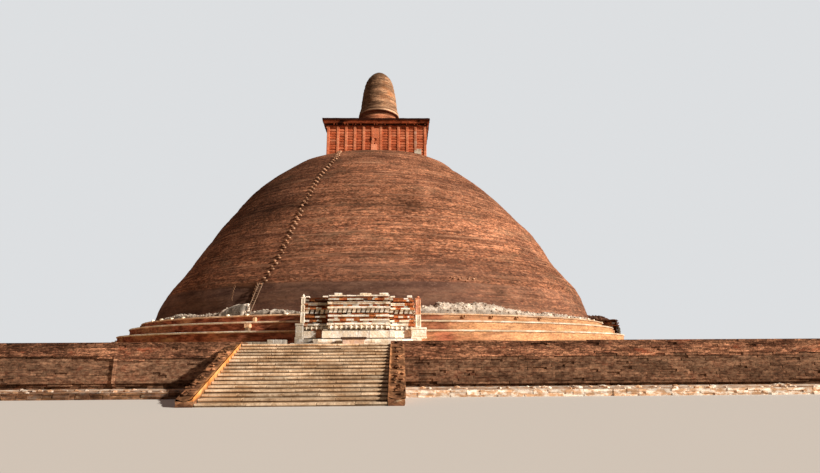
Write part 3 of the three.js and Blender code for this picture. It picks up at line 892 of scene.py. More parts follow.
def platform_stone():
    """Worn paving of the platform under a thin layer of sandy earth."""
    finish = Finish("platform_stone")
    sand = finish.pair("c6a677", "d2b589", 6)
    sand = finish.stained(sand, (0.5, 0.5, 0.7, 1.0, 0.25, "a58a64"))
    joints, shade = finish.bricks(1.3, 0.9, 0.05)
    slab = finish.mix(finish.times(shade, 0.6), colour("b89f7e"), colour("ccb798"))
    slab = finish.mix(finish.times(joints, 0.5), slab, colour("8f775a"))
    base = finish.mix(finish.noise(3, 0.4, 0.6, top=0.5), sand, slab)
    finish.bump(finish.ramp(joints, 0.0, 1.0, 1.0, 0.0), 0.02)
    finish.bump(finish.noise(0.6), 0.02)
    return finish.done(base)


# Platform walls, footings, steps and their cheeks

def cells(joints):
    """Both ends of every stretch between joints, as columns or rows of a stepped grid."""
    return np.repeat(joints, 2)[1:-1]


def mitred(x, y, face):
    """X of points at Y, narrowed to the corners' mitres near both ends of a side."""
    return np.where(np.abs(x) > face - CORNER_REACH, x * -y / face, x)


def retaining_wall():
    """One side's wall: staggered courses, weathered back unevenly, in front of a core."""
    random = dice(11)
    notch, reach = STEPS_HALF + 0.02, WALL_FACE - 0.06
    levels = np.linspace(FOOTING_TOP, WALL_TOP, round((WALL_TOP - FOOTING_TOP) / WALL_COURSE) + 1)
    rise = levels[1] - levels[0]
    offset, groove = WALL_OFFSET_X, WALL_OFFSET_X + GROOVE_EDGE
    spans = []
    for low in levels[:-1]:
        for left, right in ((-reach, offset), (offset, groove), (groove, -notch), (notch, reach)):
            joints = split(right - left, *WALL_STRETCH, random) + left
            spans += [(first, last, low) for first, last in zip(joints, joints[1:])]
    left, right, low = np.array(spans).T
    middle = (left + right) / 2
    spots, flat = joined(middle, 0, low), joined(middle, 0, 0)
    chance = random.random((3, len(low)))
    line = REPAIR_LINE + 0.16 * noise(flat, (2.2, 1, 1), 15)
    old = 1 - ease(low, line - 0.1, line)
    worn = noise(spots, (2.5, 1, 0.3), 13)
    undercut = 1 - ease(low + 0.15 * noise(flat, (3, 1, 1), 14), *UNDERCUT)
    back = 0.03 + 0.02 * chance[0] + 0.02 * worn + old * (0.05 + 0.015 * chance[1])
    step = 0.12 - 0.07 * ease(offset - middle, 1, 5)
    back = back + undercut * (0.12 + 0.16 * chance[2]) + step * old * (middle < offset)
    back = back + 0.07 * (chance[2] > 1 - LOST_BLOCKS)
    crest = (low > levels[-2] - 0.01) & (middle > LOW_CREST[0]) & (middle < LOW_CREST[1])
    # Painted shade: the undercut foot is darkened as well as set back.
    tone = 0.5 + 0.22 * (chance[1] - 0.5) + 0.1 * worn - 0.24 * undercut
    tone = tone - 0.04 * (middle < 0) - old * np.where(middle > 0, 0.17, 0.06)
    # Painted highlight: the blocks between the step in the face and the groove are lightened like a lit
    # edge.
    lit_groove_edge = (left > offset - 0.01) & (right < groove + 0.01) & (old > 0.5)
    tone, back = tone + 0.3 * lit_groove_edge, back - 0.03 * lit_groove_edge
    tone = tone - 0.16 * ease(low, WALL_TOP - 0.5, WALL_TOP - 0.3)
    tone = tone - 0.35 * np.clip(noise(spots, (2.2, 1, 5), 17) - 0.3, 0, 1)
    high = low + rise - 0.004 - LOW_CREST[2] * crest
    outlines = joined(joined(-0.4, -back, -back, -0.4), joined(low, low, high, high))
    lines = [joined(x, -WALL_FACE, 0) for x in (left + HALF_JOINT, right - HALF_JOINT)]
    return wall_core(bars(Draft(), *lines, outlines, tone=tone, kind=old), notch)


def wall_core(draft, notch):
    """Core behind the courses of one side, lower where the landing lies on it."""
    joints = np.linspace(-WALL_FACE, WALL_FACE, CORE_STRETCHES + 1)
    joints = np.sort(np.append(joints, [-notch, notch]))
    x = cells(joints)
    middle = np.repeat((joints[:-1] + joints[1:]) / 2, 2)
    roof = np.where(np.abs(middle) < notch, PLATFORM_TOP - LANDING_SLAB, WALL_TOP - 0.02)
    inner = WALL_FACE - WALL_INNER - 0.004
    y = np.array([*CORE_DEPTHS, inner, inner])[:, None] - WALL_FACE
    foot = np.full(len(x), FOOTING_TOP)
    z = np.vstack([foot, roof - 0.05, roof, roof, roof, foot])
    z[1:5] -= dice(16).uniform(0, 0.03, (4, len(x)))
    return run(draft, joined(mitred(x, y, WALL_FACE), y, z), tone=0.3, kind=0.6)


def wall_footing():
    """One side's low footing in two runs, paler to the right, with stones and dust on it."""
    draft = Draft()
    random = dice(21)
    width, near = FOOTING_FACE - WALL_FACE, CHEEK_OUTER + 0.01
    for left, right in ((-FOOTING_FACE, -near), (near, FOOTING_FACE)):
        pale = float(right > 0)
        x = cells(split(right - left, *FOOTING_STRETCH, random) + left)
        courses = cells(np.linspace(0.0, FOOTING_TOP - 0.02, 4))[:, None]
        worn = random.uniform(0, 1, (2, 3, len(x) // 2)).repeat(2, axis=1).repeat(2, axis=2)
        depth = np.array(FOOTING_DEPTHS)[:, None]
        flat = joined(x, depth, 0)
        inner = np.full((2, len(x)), width + 0.3)
        y = np.concatenate([0.09 * worn[0], depth + 0 * x, inner]) - FOOTING_FACE
        lump = FOOTING_TOP - 0.035 + 0.035 * noise(flat, (0.9, 0.4, 1), 22)
        ends = np.stack([0 * x + FOOTING_TOP - 0.01, 0 * x])
        z = np.concatenate([courses + 0 * x, lump, ends])
        across = mitred(x, y, FOOTING_FACE)
        dusty = 0.3 + 0.5 * pale + 0.45 * noise(flat, (2.5, 1, 1), 23) + 0.5 * (depth < 0.3)
        dusty[2:4] -= 0.35
        faced = np.clip(0.8 * pale + 0.3 * (worn[1] - 0.5), 0, 1)
        rest = 0 * inner + 0.6
        tone = np.concatenate([0.28 + 0.16 * worn[1] + 0.24 * pale, 0 * dusty + 0.55, rest])
        kind = np.concatenate([faced, np.clip(dusty, 0, 1), rest])
        run(draft, joined(across, y, z), tone=tone, kind=kind, bond=joined(across, z))
    side = random.choice([-1, 1], DUST_STONES)
    x = random.uniform(CHEEK_OUTER + 1, WALL_FACE - 1, DUST_STONES) * side
    y = -WALL_FACE - random.uniform(0.1, width - 0.15, DUST_STONES)
    size = random.uniform(0.1, 0.32, DUST_STONES)
    places = joined(x, y, FOOTING_TOP - 0.04 + size * 0.15)
    sizes = joined(size * random.uniform(1, 1.8, DUST_STONES), size, size * 0.6)
    tone = random.uniform(0.35, 0.75, DUST_STONES) + 0.05 * side
    return pebbles(draft, places, sizes, 6, 4, 0.15, 24, tone=tone, kind=0.65 + 0.25 * side)


def flight_of_steps():
    """One flight: long worn slabs that stand out over a riser wall darkened with painted shade, and the
    landing.
    """
    riser = PLATFORM_TOP / RISER_COUNT
    outline = [[STEPS_BACK, 0.0]]
    for step in range(RISER_COUNT):
        nosing = STEPS_FOOT - step * TREAD - SLAB_OVERHANG
        outline.append([nosing, step * riser - RISER_DROP * (step > 0)])
        outline.append([nosing, (step + 1) * riser - RISER_DROP])
    outline.append([STEPS_BACK, PLATFORM_TOP - RISER_DROP])
    # Painted shade: the riser wall under the slabs' nosings is nearly black.
    draft = bars(Draft(), [-STEPS_HALF, 0, 0], [STEPS_HALF, 0, 0], outline, tone=0.08)
    random = dice(31)
    for step in range(RISER_COUNT):
        landing = step == RISER_COUNT - 1
        joints = split(2 * STEPS_HALF, *SLAB_STRETCH, random) - STEPS_HALF
        count = len(joints) - 1
        front = STEPS_FOOT - step * TREAD
        depth = front - STEPS_BACK if landing else TREAD + 0.1
        thick = SLAB_THICKNESS - random.uniform(0, 0.02, count)
        y = -front + depth / 2 + random.uniform(0.0, 0.03, count)
        z = (step + 1) * riser - thick / 2 - random.uniform(0.0, 0.015, count)
        places = joined((joints[:-1] + joints[1:]) / 2, y, z)
        sizes = joined(np.diff(joints) - 0.015, depth, thick)
        tone = np.clip(random.normal(0.62 if landing else 0.52, 0.08, count), 0.2, 0.9)
        turns = random.normal(0, 0.25, count) * (step > 0)
        blocks(draft, places, sizes, turns, 0, 0.022, 0.008, 32 + step, tone=tone)
    return draft


def step_cheek(side):
    """Sloping wall beside the steps: loose bricks on top, orange plaster and painted highlight along
    the inner edge.
    """
    inner, outer = side * (STEPS_HALF + 0.004), side * CHEEK_OUTER
    fall = (WALL_FACE, CHEEK_HEAD), (STEPS_FOOT, FOOTING_TOP + 0.04)
    y = np.linspace(-WALL_FACE - 0.004, -STEPS_FOOT, CHEEK_COLUMNS)
    share, rise = np.array(CHEEK_ACROSS)[:, None], np.array(CHEEK_UP)[:, None]
    x, z = inner + (outer - inner) * share, rise * reading(-y, fall)
    spots = joined(x, y, z)
    top = (rise >= 0.97) & (share > 0.06) & (share < 0.99)
    rough = noise(spots, (0.4, 0.3, 0.3), 41 + side)
    layers = noise(spots, (3, 1.2, 0.14), 43 + side)
    z = z - top * (0.09 + 0.07 * rough) * (z > 0.3)
    x = np.where(share > 0.99, x - side * (0.05 + 0.05 * layers), x)
    x = np.where(share == 0, x + side * 0.03 * (1 - rise), x)
    # Orange near the top of the inner edge: partly plaster, partly a painted highlight on the left
    # cheek's lit inner face, so the right cheek, whose inner face is in shade, gets little.
    edge = ease(rise, 0.6, 0.9) * (share < 0.2) * (1.2 if side < 0 else 0.1)
    tone = 0.5 + 0.14 * rough + 0.1 * layers - 0.08 * top
    notes = {"tone": tone, "kind": np.clip(edge * (0.9 + 0.5 * rough), 0, 1), "bond": spots[..., 1:]}
    order = slice(None, None, -side), slice(None, None, -1)
    notes = {name: note[order] for name, note in notes.items()}
    draft = run(Draft(), joined(x, y, z)[order], **notes)
    random = dice(45 + side)
    along = random.uniform(WALL_FACE + 0.2, STEPS_FOOT - 0.3, LOOSE_BRICKS)
    x = inner + (outer - inner) * random.uniform(0.3, 0.85, LOOSE_BRICKS)
    tilt = math.degrees(math.atan2(fall[1][1] - CHEEK_HEAD, STEPS_FOOT - WALL_FACE)) / 2
    sizes = random.uniform([0.14, 0.1, 0.05], [0.34, 0.2, 0.09], (LOOSE_BRICKS, 3))
    turns = random.uniform(-60, 60, LOOSE_BRICKS)
    tone = random.uniform(0.3, 0.8, LOOSE_BRICKS)
    places = joined(x, -along, reading(along, fall) - 0.06)
    return blocks(draft, places, sizes, turns, tilt, 0.015, tone=tone)


# Terraces

def ring_radius(node, height):
    """Outer radius of a turned solid at one height."""
    points = real_points(node)
    level = points[np.abs(points[:, 2] - height) < 0.02]
    return np.hypot(level[:, 0], level[:, 1]).max()


def side_bearing(bearings, mark=0.0, span=180):
    """Degrees from a mark, which repeats after every span: on two opposite sides with 180."""
    return (np.asarray(bearings) - mark + span / 2) % span - span / 2


def terrace(name, stone):
    """One round terrace: brick face, projecting coping, and the top back to what stands on it."""
    foot, top = lowest(name)[2], highest(name)[2]
    radius = ring_radius(name, foot)
    bearings = full_circle(TERRACE_COLUMNS)
    under, lip = top - COPING_HEIGHT, radius + COPING_REACH
    count = max(2, round((under - foot) / TERRACE_COURSE))
    levels = cells(np.linspace(foot, under, count + 1))
    rows, edge = len(levels), len(levels) + 4
    coping = [
        [lip - 0.05, under], [lip, under + 0.05], [lip, top - 0.06], [lip - 0.06, top],
        [radius - 0.4, top], [radius - 1.2, top], [radius - 2.6, top], [radius - 2.6, foot],
    ]
    profile = np.vstack([joined(radius, levels), coping])
    spots = around(profile, bearings)
    stepped = dice(51).uniform(-0.5, 0.5, (count, TERRACE_COLUMNS // 3))
    stepped = stepped.repeat(2, axis=0).repeat(3, axis=1)
    relief = np.zeros(spots.shape[:2])
    relief[:rows] = -0.03 + 0.03 * stepped + 0.02 * noise(spots[:rows], (1.5, 1.5, 0.6), 52)
    chips = np.clip(noise(spots[rows:edge], (0.9, 0.9, 0.4), 53) - 0.3, 0, 1)
    relief[rows:edge] = -0.14 * chips - 0.01
    points = around(profile, bearings, relief)
    points[edge:-1, :, 2] -= 0.02 + 0.02 * noise(spots[edge:-1], (1.2, 1.2, 1), 54)
    local = side_bearing(bearings)
    right = ease(local, -4, 4)
    kind = np.full(relief.shape, 0.5)
    patches = np.clip(0.8 + 0.2 * right + 0.6 * noise(spots, (3.5, 3.5, 1), 55), 0, 1)
    kind[rows : edge + 1] = stone * patches[rows : edge + 1]
    tone = 0.5 + 0.03 * right - 0.06 * right * (foot > 4) + 0.1 * noise(spots, (4, 4, 0.5), 56)
    tone[:rows] += 0.12 * stepped
    dull = 1 - ease(np.abs(side_bearing(bearings, STAIN_BEARING)), *STAIN_FADE)
    # Partly painted shade: the left half of each face, and part of the stretch right of the front,
    # takes the darker red brick, partly real and partly the shade of the side away from the key light.
    red = (1 - right) + 0.4 * right * (1 - ease(local, 13, 34))
    red = red * (0.9 + 0.7 * noise(spots[:rows], (4, 4, 1), 57)) + 0.4 * dull
    kind[:rows] = 0 - np.clip(red, 0, 1)
    tone[:rows] -= 0.12 * dull * (foot > 5)
    tone[rows : edge + 1] += 0.14 * (1 - right)
    bond = joined(np.radians(bearings) * radius, travelled(profile)[:, None])
    return shell(points, True, tone=tone, kind=kind, bond=bond)


def at_bearing(bearing, radius, height):
    """Point at a bearing, a radius and a height, and the direction along there."""
    out, along = directions(np.radians(bearing))
    return out * radius + [0, 0, height], along


def terrace_details():
    """On every side: drain holes, edge stones and the two footholds below the ladder."""
    draft = Draft()
    top, foot = highest(TERRACES[2])[2], highest(TERRACES[0])[2]
    upper, middle = ring_radius(TERRACES[2], highest(TERRACES[1])[2]), ring_radius(TERRACES[1], foot)
    level = top - COPING_HEIGHT - 0.16
    random = dice(58)

    def stone(bearing, radius, height, size, cut, rough=0.0, sideways=0.0, **notes):
        place, along = at_bearing(bearing, radius, height)
        blocks(draft, place + along * sideways, size, bearing, 0, cut, rough, **notes)

    for turn in (0, 90, 180, 270):
        for bearing in DRAIN_HOLES:
            where = bearing + turn
            stone(where, upper + 0.08, level - 0.13, (0.5, 0.4, 0.09), 0.02, tone=0.45)
            for shift in (-0.2, 0.2):
                size = (0.1, 0.4, 0.3)
                stone(where, upper + 0.08, level, size, 0.02, sideways=shift, tone=0.45)
            # Painted shade: a black plate at the back of each drain hole.
            stone(where, upper - 0.02, level, (0.34, 0.06, 0.26), 0.01, tone=0.0)
        for bearing in EDGE_STONES:
            size = random.uniform([0.36, 0.35, 0.24], [0.52, 0.5, 0.34])
            stone(bearing + turn, upper + 0.03, top + 0.03, size, 0.06, 0.02, tone=0.8, kind=1.0)
        high, low, level_high = FOOTHOLDS
        size = (0.45, 0.5, 0.66)
        stone(high + turn, upper + 0.15, level_high, size, 0.03, 0.01, tone=0.66, kind=0.25)
        for base, tall, wide, tone in ((0, 0.5, 0.6, 0.12), (0.5, 0.56, 0.92, 0.62)):
            place = low + turn, middle + 0.18, foot + base + tall / 2
            stone(*place, (wide, 0.6, tall), 0.05, 0.02, tone=tone, kind=0.2)
    return draft


def plaster_remains():
    """Band of crumbling plaster and rubble between the upper terrace and the dome."""
    edge, top = ring_radius(TERRACES[2], lowest(TERRACES[2])[2]), highest(TERRACES[2])[2]
    bearings = full_circle(PLASTER_COLUMNS)
    local = side_bearing(bearings)
    spots = around(np.array([[edge, top]]), bearings)[0]
    tall = reading(local, PLASTER_TOPS) - top
    tall = tall * (1 + 0.1 * noise(spots, (1.1, 1.1, 1), 61))
    tall = tall + 0.2 * np.clip(noise(spots, (0.45, 0.45, 1), 62), -0.4, 1) * (tall > 0.3)
    tall = np.clip(tall, 0.1, None)
    share = np.linspace(0, 1, PLASTER_ROWS)[:, None]
    foot_radius = edge - 0.12 - 0.25 * (noise(spots, (2, 2, 1), 63) + 1) * (tall < 0.9)
    head_radius = reading(tall, DOME_FOOT)
    radius = foot_radius + (head_radius - foot_radius) * share**1.6
    height = top - 0.05 + (tall + 0.05) * np.sin(share * math.pi / 2) ** 0.75
    out, _ = directions(np.radians(bearings))
    points = out * radius[..., None] + joined(0, 0, height)
    lumps = noise(points, (0.4, 0.4, 0.3), 64) * 0.13 * np.sin(share * math.pi)
    points = points + out * lumps[..., None]
    tone = 0.44 + 0.1 * np.sign(local) + 0.18 * noise(points, (0.6, 0.6, 0.4), 65)
    tone = tone - 0.2 * (share < 0.2)
    middle, foot, left, right, tall_arch = PLASTER_ARCH
    reach = np.where(local < middle, left, right)
    arch = np.hypot((local - middle) / reach, (height - foot) / tall_arch)
    tone = tone + 0.5 * np.exp(-(((arch - 0.97) / 0.07) ** 2)) * (local < 0)
    inside = (arch < 0.9) * (0.26 + 0.26 * (local > middle - 0.5))
    tone = tone - inside * (1 + 1.2 * noise(points, (0.3, 0.3, 0.3), 67))
    draft = shell(points, tone=tone)
    random = dice(66)
    spots = np.argwhere((tall > 0.3) & (share > 0.1) & ((arch > 1.1) | (local > 0)))
    spots = tuple(spots[random.choice(len(spots), RUBBLE_STONES, replace=False)].T)
    sizes = random.uniform([0.2, 0.2, 0.16], [0.6, 0.5, 0.38], (RUBBLE_STONES, 3))
    shade = np.clip(tone[spots] + random.uniform(-0.2, 0.25, RUBBLE_STONES), 0.1, 1)
    return pebbles(draft, points[spots], sizes, 6, 4, 0.2, 68, tone=shade)


# Dome

def dome_path():
    """Radius, height and middle of the dome's surface, evenly spaced from its foot to its crown."""
    points = real_points("dome")
    levels, counts = np.unique(np.round(points[:, 2], 2), return_counts=True)
    rings = []
    for level in levels[counts > 500]:
        ring = points[np.abs(points[:, 2] - level) < 0.02][:, 0]
        rings.append([np.ptp(ring) / 2, level, (ring.max() + ring.min()) / 2])
    rings.append([HARMIKA_HALF - 0.9, points[:, 2].max(), rings[-1][2] - 0.05])
    path = smooth_path(rings, DOME_ROWS + 1)
    path[:, 1] += CROWN_RISE * ease(CROWN_RADIUS - path[:, 0], 0, CROWN_SPREAD)
    path[:, 0] -= FOOT_INSET * (1 - ease(path[:, 1], *FOOT_HEIGHTS))
    return path


def dome_marks_and_painted_light(bearings, heights, radius):
    """Change of tone from the dome's marks, partly painted shade and light, and a painted shadow along
    the climbing blocks, the same at the front and the back.
    """
    total = 0
    for bearing, height, wide, tall, change in DOME_MARKS_AND_PAINTED_LIGHT:
        across = np.radians(side_bearing(bearings, bearing)) * radius / wide
        total = total + change * np.exp(-1.2 * (across**2 + ((heights - height) / tall) ** 2))
    # Painted shadow: a darker strip along the line of the climbing blocks.
    across = np.radians(side_bearing(bearings, reading(heights, CLIMB_LINE))) * radius / 0.75
    return total - 0.13 * np.exp(-(across**2)) * (heights > CLIMB_LINE[0][0])


def dome_band(bearings, heights):
    """1 on the smooth band at the dome's foot, 0 above it, the same at the front and the back."""
    reach = 1 - BAND_LOSS * ease(side_bearing(bearings), *BAND_THINS)
    return (1 - ease(heights, FOOT_BAND_TOP - 0.2, FOOT_BAND_TOP + 0.2)) * reach


def dome_recess(bearings, heights):
    """1 in the shallow, slanting recess left of the ladder, and the share across it."""
    local = side_bearing(bearings)
    left, right = (start + slant * (heights - RECESS_LEVEL) for start, slant in RECESS_EDGES)
    low, high = RECESS_HEIGHTS
    across = ease(local - left, -0.3, 0.3) * (1 - ease(local - right, -0.3, 0.3))
    inside = across * ease(heights, low, low + 0.3) * (1 - ease(heights, high - 0.3, high))
    return inside, np.clip((local - left) / (right - left), 0, 1)


def dome_surface():
    """Displaced points of the dome with their notes, as grids of rows by columns."""
    path = dome_path()
    slope = np.gradient(path[:, :2], axis=0)
    slope = slope / np.linalg.norm(slope, axis=1, keepdims=True)
    points = around(path, full_circle(DOME_COLUMNS), middle=path[:, 2:])
    heights, bearings = np.broadcast_arrays(path[:, 1:2], full_circle(DOME_COLUMNS))
    local = side_bearing(bearings)
    band = dome_band(bearings, heights)
    recess, share = dome_recess(bearings, heights)
    ledges = dice(71).uniform(-1, 1, (DOME_ROWS + 1, 1)) * (0.6 + 0.4 * noise(points, (6, 6, 2), 72))
    patches = noise(points, (1.1, 1.1, 0.4), 75)
    relief = (
        0.1 * noise(points, (11, 11, 6), 73)
        + 0.05 * noise(points, (3, 3, 1.2), 74)
        + (1 - 0.85 * band) * (0.035 * ledges + 0.012 * patches)
        - (1 - band) * 0.08 * np.clip(noise(points, (2.4, 2.4, 0.5), 76) - 0.4, 0, 1)
        - 0.1 * band
        - 0.4 * recess * share
        - 0.1
        + SHOULDER_RISE * ease(local, *SHOULDER_BEARINGS) * ease(heights, *SHOULDER_HEIGHTS)
    )
    for middle, bulges in DOME_SIDES:
        near = np.exp(-((side_bearing(bearings, middle) / DOME_SIDE_REACH) ** 2))
        relief += near * reading(heights, bulges)
    relief[0] = 0
    angle = np.radians(bearings)
    outwards = relief * slope[:, 1:]
    points += joined(outwards * np.sin(angle), -outwards * np.cos(angle), -relief * slope[:, :1])
    tone = 0.5 + dome_marks_and_painted_light(bearings, heights, path[:, :1]) + 0.1 * ledges + 0.05 * patches
    # Painted shade: the recess is darkened, more towards its right edge.
    tone = tone - recess * (0.02 + 0.1 * share) + 0.08 * noise(points, (7, 7, 2.5), 77)
    slant = np.linspace(0, travelled(path[:, :2])[-1], DOME_ROWS + 1)[:, None]
    middle, wide, level, tall = SMOOTH_PATCH
    patch = np.exp(-(((heights - level) / tall) ** 2) - (side_bearing(bearings, middle) / wide) ** 2)
    kind = np.clip(band * 0.85 + recess * 0.3 + 0.5 * patch, 0, 1)
    return points, {"tone": tone, "kind": kind, "bond": joined(angle * 45, slant)}


def dome_part(surface, rows):
    """Some rows of the dome's surface."""
    points, notes = surface
    return shell(points[rows], **{name: note[rows] for name, note in notes.items()})


def on_dome(bearing, height):
    """Point of the dome at a bearing and height, and the slope of its surface there in degrees."""
    reach, levels, middles = dome_path().T
    radius, above = np.interp(height, levels, reach), np.interp(height + 0.5, levels, reach)
    angle = np.radians(bearing)
    x = np.interp(height, levels, middles) + radius * np.sin(angle)
    return joined(x, -radius * np.cos(angle), height), np.degrees(np.arctan2(radius - above, 0.5))


def climbing_blocks():
    """Two staggered rows of tan blocks that climb the dome from the ladder's head."""
    path = dome_path()
    climbed = path[np.searchsorted(path[:, 1], CLIMB_LINE[0][0]) :]
    slant = travelled(climbed[:, :2])
    heights = np.interp(np.arange(0, slant[-1] - 0.5, CLIMB_PITCH), slant, climbed[:, 1])
    heights = heights[heights < CLIMB_LINE[-1][0]]
    count = len(heights)
    reach = np.interp(heights, path[:, 1], path[:, 0])
    side = np.where(np.arange(count) % 2, 1, -1)
    random = dice(81)
    bearings = np.degrees((side * CLIMB_APART + random.normal(0, 0.04, count)) / reach)
    bearings = bearings + reading(heights, CLIMB_LINE)
    places, _ = on_dome(bearings, heights)
    sizes = random.uniform([0.28, 0.46, 0.2], [0.46, 0.66, 0.34], (count, 3))
    kept = random.random(count) > 0.05
    tone = random.uniform(0.3, 0.62, count)[kept]
    turns = bearings[kept] + random.normal(0, 4, kept.sum())
    return blocks(Draft(), places[kept], sizes[kept], turns, 0, 0.07, 0.03, 82, tone=tone)


def drain_dots():
    """Row of small pale plugs in the dome above its foot band, right of the front."""
    random = dice(83)
    bearings = np.concatenate([turn + np.arange(*PLUG_BEARINGS) for turn in (0, 180)])
    count = len(bearings)
    bearings = bearings + random.uniform(-0.3, 0.3, count)
    places, _ = on_dome(bearings, PLUG_HEIGHT + random.choice(PLUG_STEPS, count))
    sizes = random.uniform([0.14, 0.4, 0.12], [0.34, 0.41, 0.22], (count, 3))
    tone = random.uniform(0.5, 0.8, count)
    return blocks(Draft(), places, sizes, bearings, 0, 0.04, 0.02, 84, tone=tone)


def recess_poles():
    """Two thin poles that stand in each recess."""
    draft = Draft()
    share = (np.arange(6) + 0.5) / 6
    for low, high, tone in RECESS_POLES:
        bearings, heights = (a + (b - a) * share for a, b in zip(low, high))
        sizes = (0.14, 0.14, (high[1] - low[1]) / 5.4)
        for turn in (0, 180):
            places, slopes = on_dome(bearings + turn, heights)
            blocks(draft, places, sizes, bearings + turn, slopes, 0.03, tone=tone)
    return draft


# Square enclosure, cornice and spire

def harmika():
    """Square enclosure: a brick core with posts and rails on every face."""
    core = HARMIKA_HALF - 0.24
    middle = [0, 0, (HARMIKA_SEAT + HARMIKA_TOP) / 2]
    size = (2 * core, 2 * core, HARMIKA_TOP - HARMIKA_SEAT)
    draft = blocks(Draft(), middle, size, cut=0.02, tone=0.36)
    for index in range(4):
        draft.take(harmika_face().quarter_turned(index))
    return draft.moved(CROWN_X + HARMIKA_SHIFT)


def harmika_face():
    """Posts and rails of one face, with the broken emblem and the grey stones of its repairs."""
    draft = Draft()
    random = dice(91)
    front = -HARMIKA_HALF
    levels = np.linspace(HARMIKA_SEAT, HARMIKA_TOP, POST_PIECES + 1)
    sizes = (POST_WIDTH - 0.02, 0.3, levels[1] - levels[0] + 0.02)
    for number, left in enumerate(POST_LEFTS):
        x = left + POST_WIDTH / 2 + random.uniform(-0.01, 0.01, POST_PIECES)
        y = front + 0.16 + random.uniform(0, 0.02, POST_PIECES)
        places = joined(x, y, (levels[:-1] + levels[1:]) / 2)
        kind = np.clip(random.normal(0.8, 0.15, POST_PIECES), 0, 1) + 0.5 * (number == PALE_POST)
        tone = random.uniform(0.44, 0.54, POST_PIECES) - 0.08 * (number == PALE_POST)
        blocks(draft, places, sizes, 0, 0, 0.06, 0.006, 92, tone=tone, kind=kind)
    rails = np.arange(HARMIKA_SEAT + 0.35, HARMIKA_TOP - 0.1, RAIL_PITCH)
    half = RAIL_PITCH / 2 - 0.05
    turns = np.linspace(-math.pi / 2, math.pi / 2, 6)
    outline = joined(0.12 * np.cos(turns), half * np.sin(turns))
    outline = np.vstack([[-0.1, -half], outline, [-0.1, half]])
    spans = []
    for number, (left, right) in enumerate(zip(POST_LEFTS, POST_LEFTS[1:])):
        for level in rails:
            holed = number == BROKEN_GAP[0] and BROKEN_GAP[1] < level < BROKEN_GAP[2]
            if number != EMBLEM_GAP:
                spans.append([left + POST_WIDTH - 0.02, right + 0.02 - 0.35 * holed, level])
    left, right, level = np.array(spans).T
    tone = random.uniform(0.46, 0.6, len(level))
    kind = np.clip(random.normal(0.25, 0.2, len(level)), 0, 1)
    lines = [joined(x, front + 0.26, level) for x in (left, right)]
    bars(draft, *lines, outline, tone=tone, kind=kind)
    for left, right, low, high, back, tone, kind in HARMIKA_PATCHES:
        place = [(left + right) / 2, front + back + 0.15, (low + high) / 2]
        size = (right - left, 0.3, high - low - 0.01)
        blocks(draft, place, size, cut=0.03, rough=0.01, seed=97, tone=tone, kind=kind)
    return draft


def square_ring(profile):
    """Points of a profile carried round a square, as rows by columns."""
    share = np.linspace(-1, 1, CORNICE_COLUMNS, endpoint=False)
    sides = ((share, -1), (1, share), (-share, 1), (-1, -share))
    x, y = np.concatenate([joined(*side) for side in sides]).T
    reach = profile[:, :1]
    return joined(reach * x, reach * y, profile[:, 1:])


def cornice():
    """Cornice over the posts' heads: a recess with worn teeth, both darkened with painted shade, a
    flaring band, a top slab.
    """
    base, half = HARMIKA_TOP, CORNICE_HALF + 0.26
    flare, slab = np.add(CORNICE_FLARE, [half, base]), np.add(CORNICE_SLAB, [half, CORNICE_TOP])
    profile = np.vstack([flare, slab, [half - 7, base]])
    points = square_ring(profile)
    rough = noise(points, (0.7, 0.7, 0.4), 101)
    shrink = 1 - 0.005 * (rough + 1)[..., None] * np.array([1, 1, 0])
    points = points * np.where(profile[:, 0][:, None, None] > half - 1, shrink, 1)
    change = np.zeros(len(profile))
    # Painted shade: the recess rows are darkened; the band and the top slab are darker too.
    change[3:7], change[7:10], change[10:13] = -0.48, -0.22, -0.56
    tone = 0.5 + 0.2 * noise(points, (1.1, 1.1, 0.8), 102) + change[:, None]
    tone[7:11] -= 1.2 * np.clip(noise(points, (0.9, 0.9, 50), 105) - 0.25, 0, 0.3)[7:11]
    draft = shell(points, True, tone=tone, kind=0.1)
    x = np.array(POST_LEFTS) + POST_WIDTH / 2 + HARMIKA_SHIFT
    heads = joined(x, 0.16 - HARMIKA_HALF, base + 0.24)
    random = dice(103)
    for index in range(4):
        x = np.arange(-half + 0.9, half - 0.6, 0.62)
        x = x[random.random(len(x)) > 0.45]
        sizes = random.uniform([0.18, 0.4, 0.26], [0.3, 0.6, 0.3], (len(x), 3))
        # Painted shade: the teeth in the recess are kept dark.
        tone = random.uniform(0.15, 0.35, len(x))
        places = joined(x, -half + 0.75, base + 0.8)
        teeth = blocks(Draft(), places, sizes, 0, 0, 0.03, 0.01, 104, tone=tone)
        tone = random.uniform(0.4, 0.5, len(heads))
        size = (POST_WIDTH - 0.02, 0.4, 0.47)
        blocks(teeth, heads, size, cut=0.05, rough=0.01, tone=tone, kind=0.8)
        draft.take(teeth.quarter_turned(index))
    return draft.moved(CROWN_X)


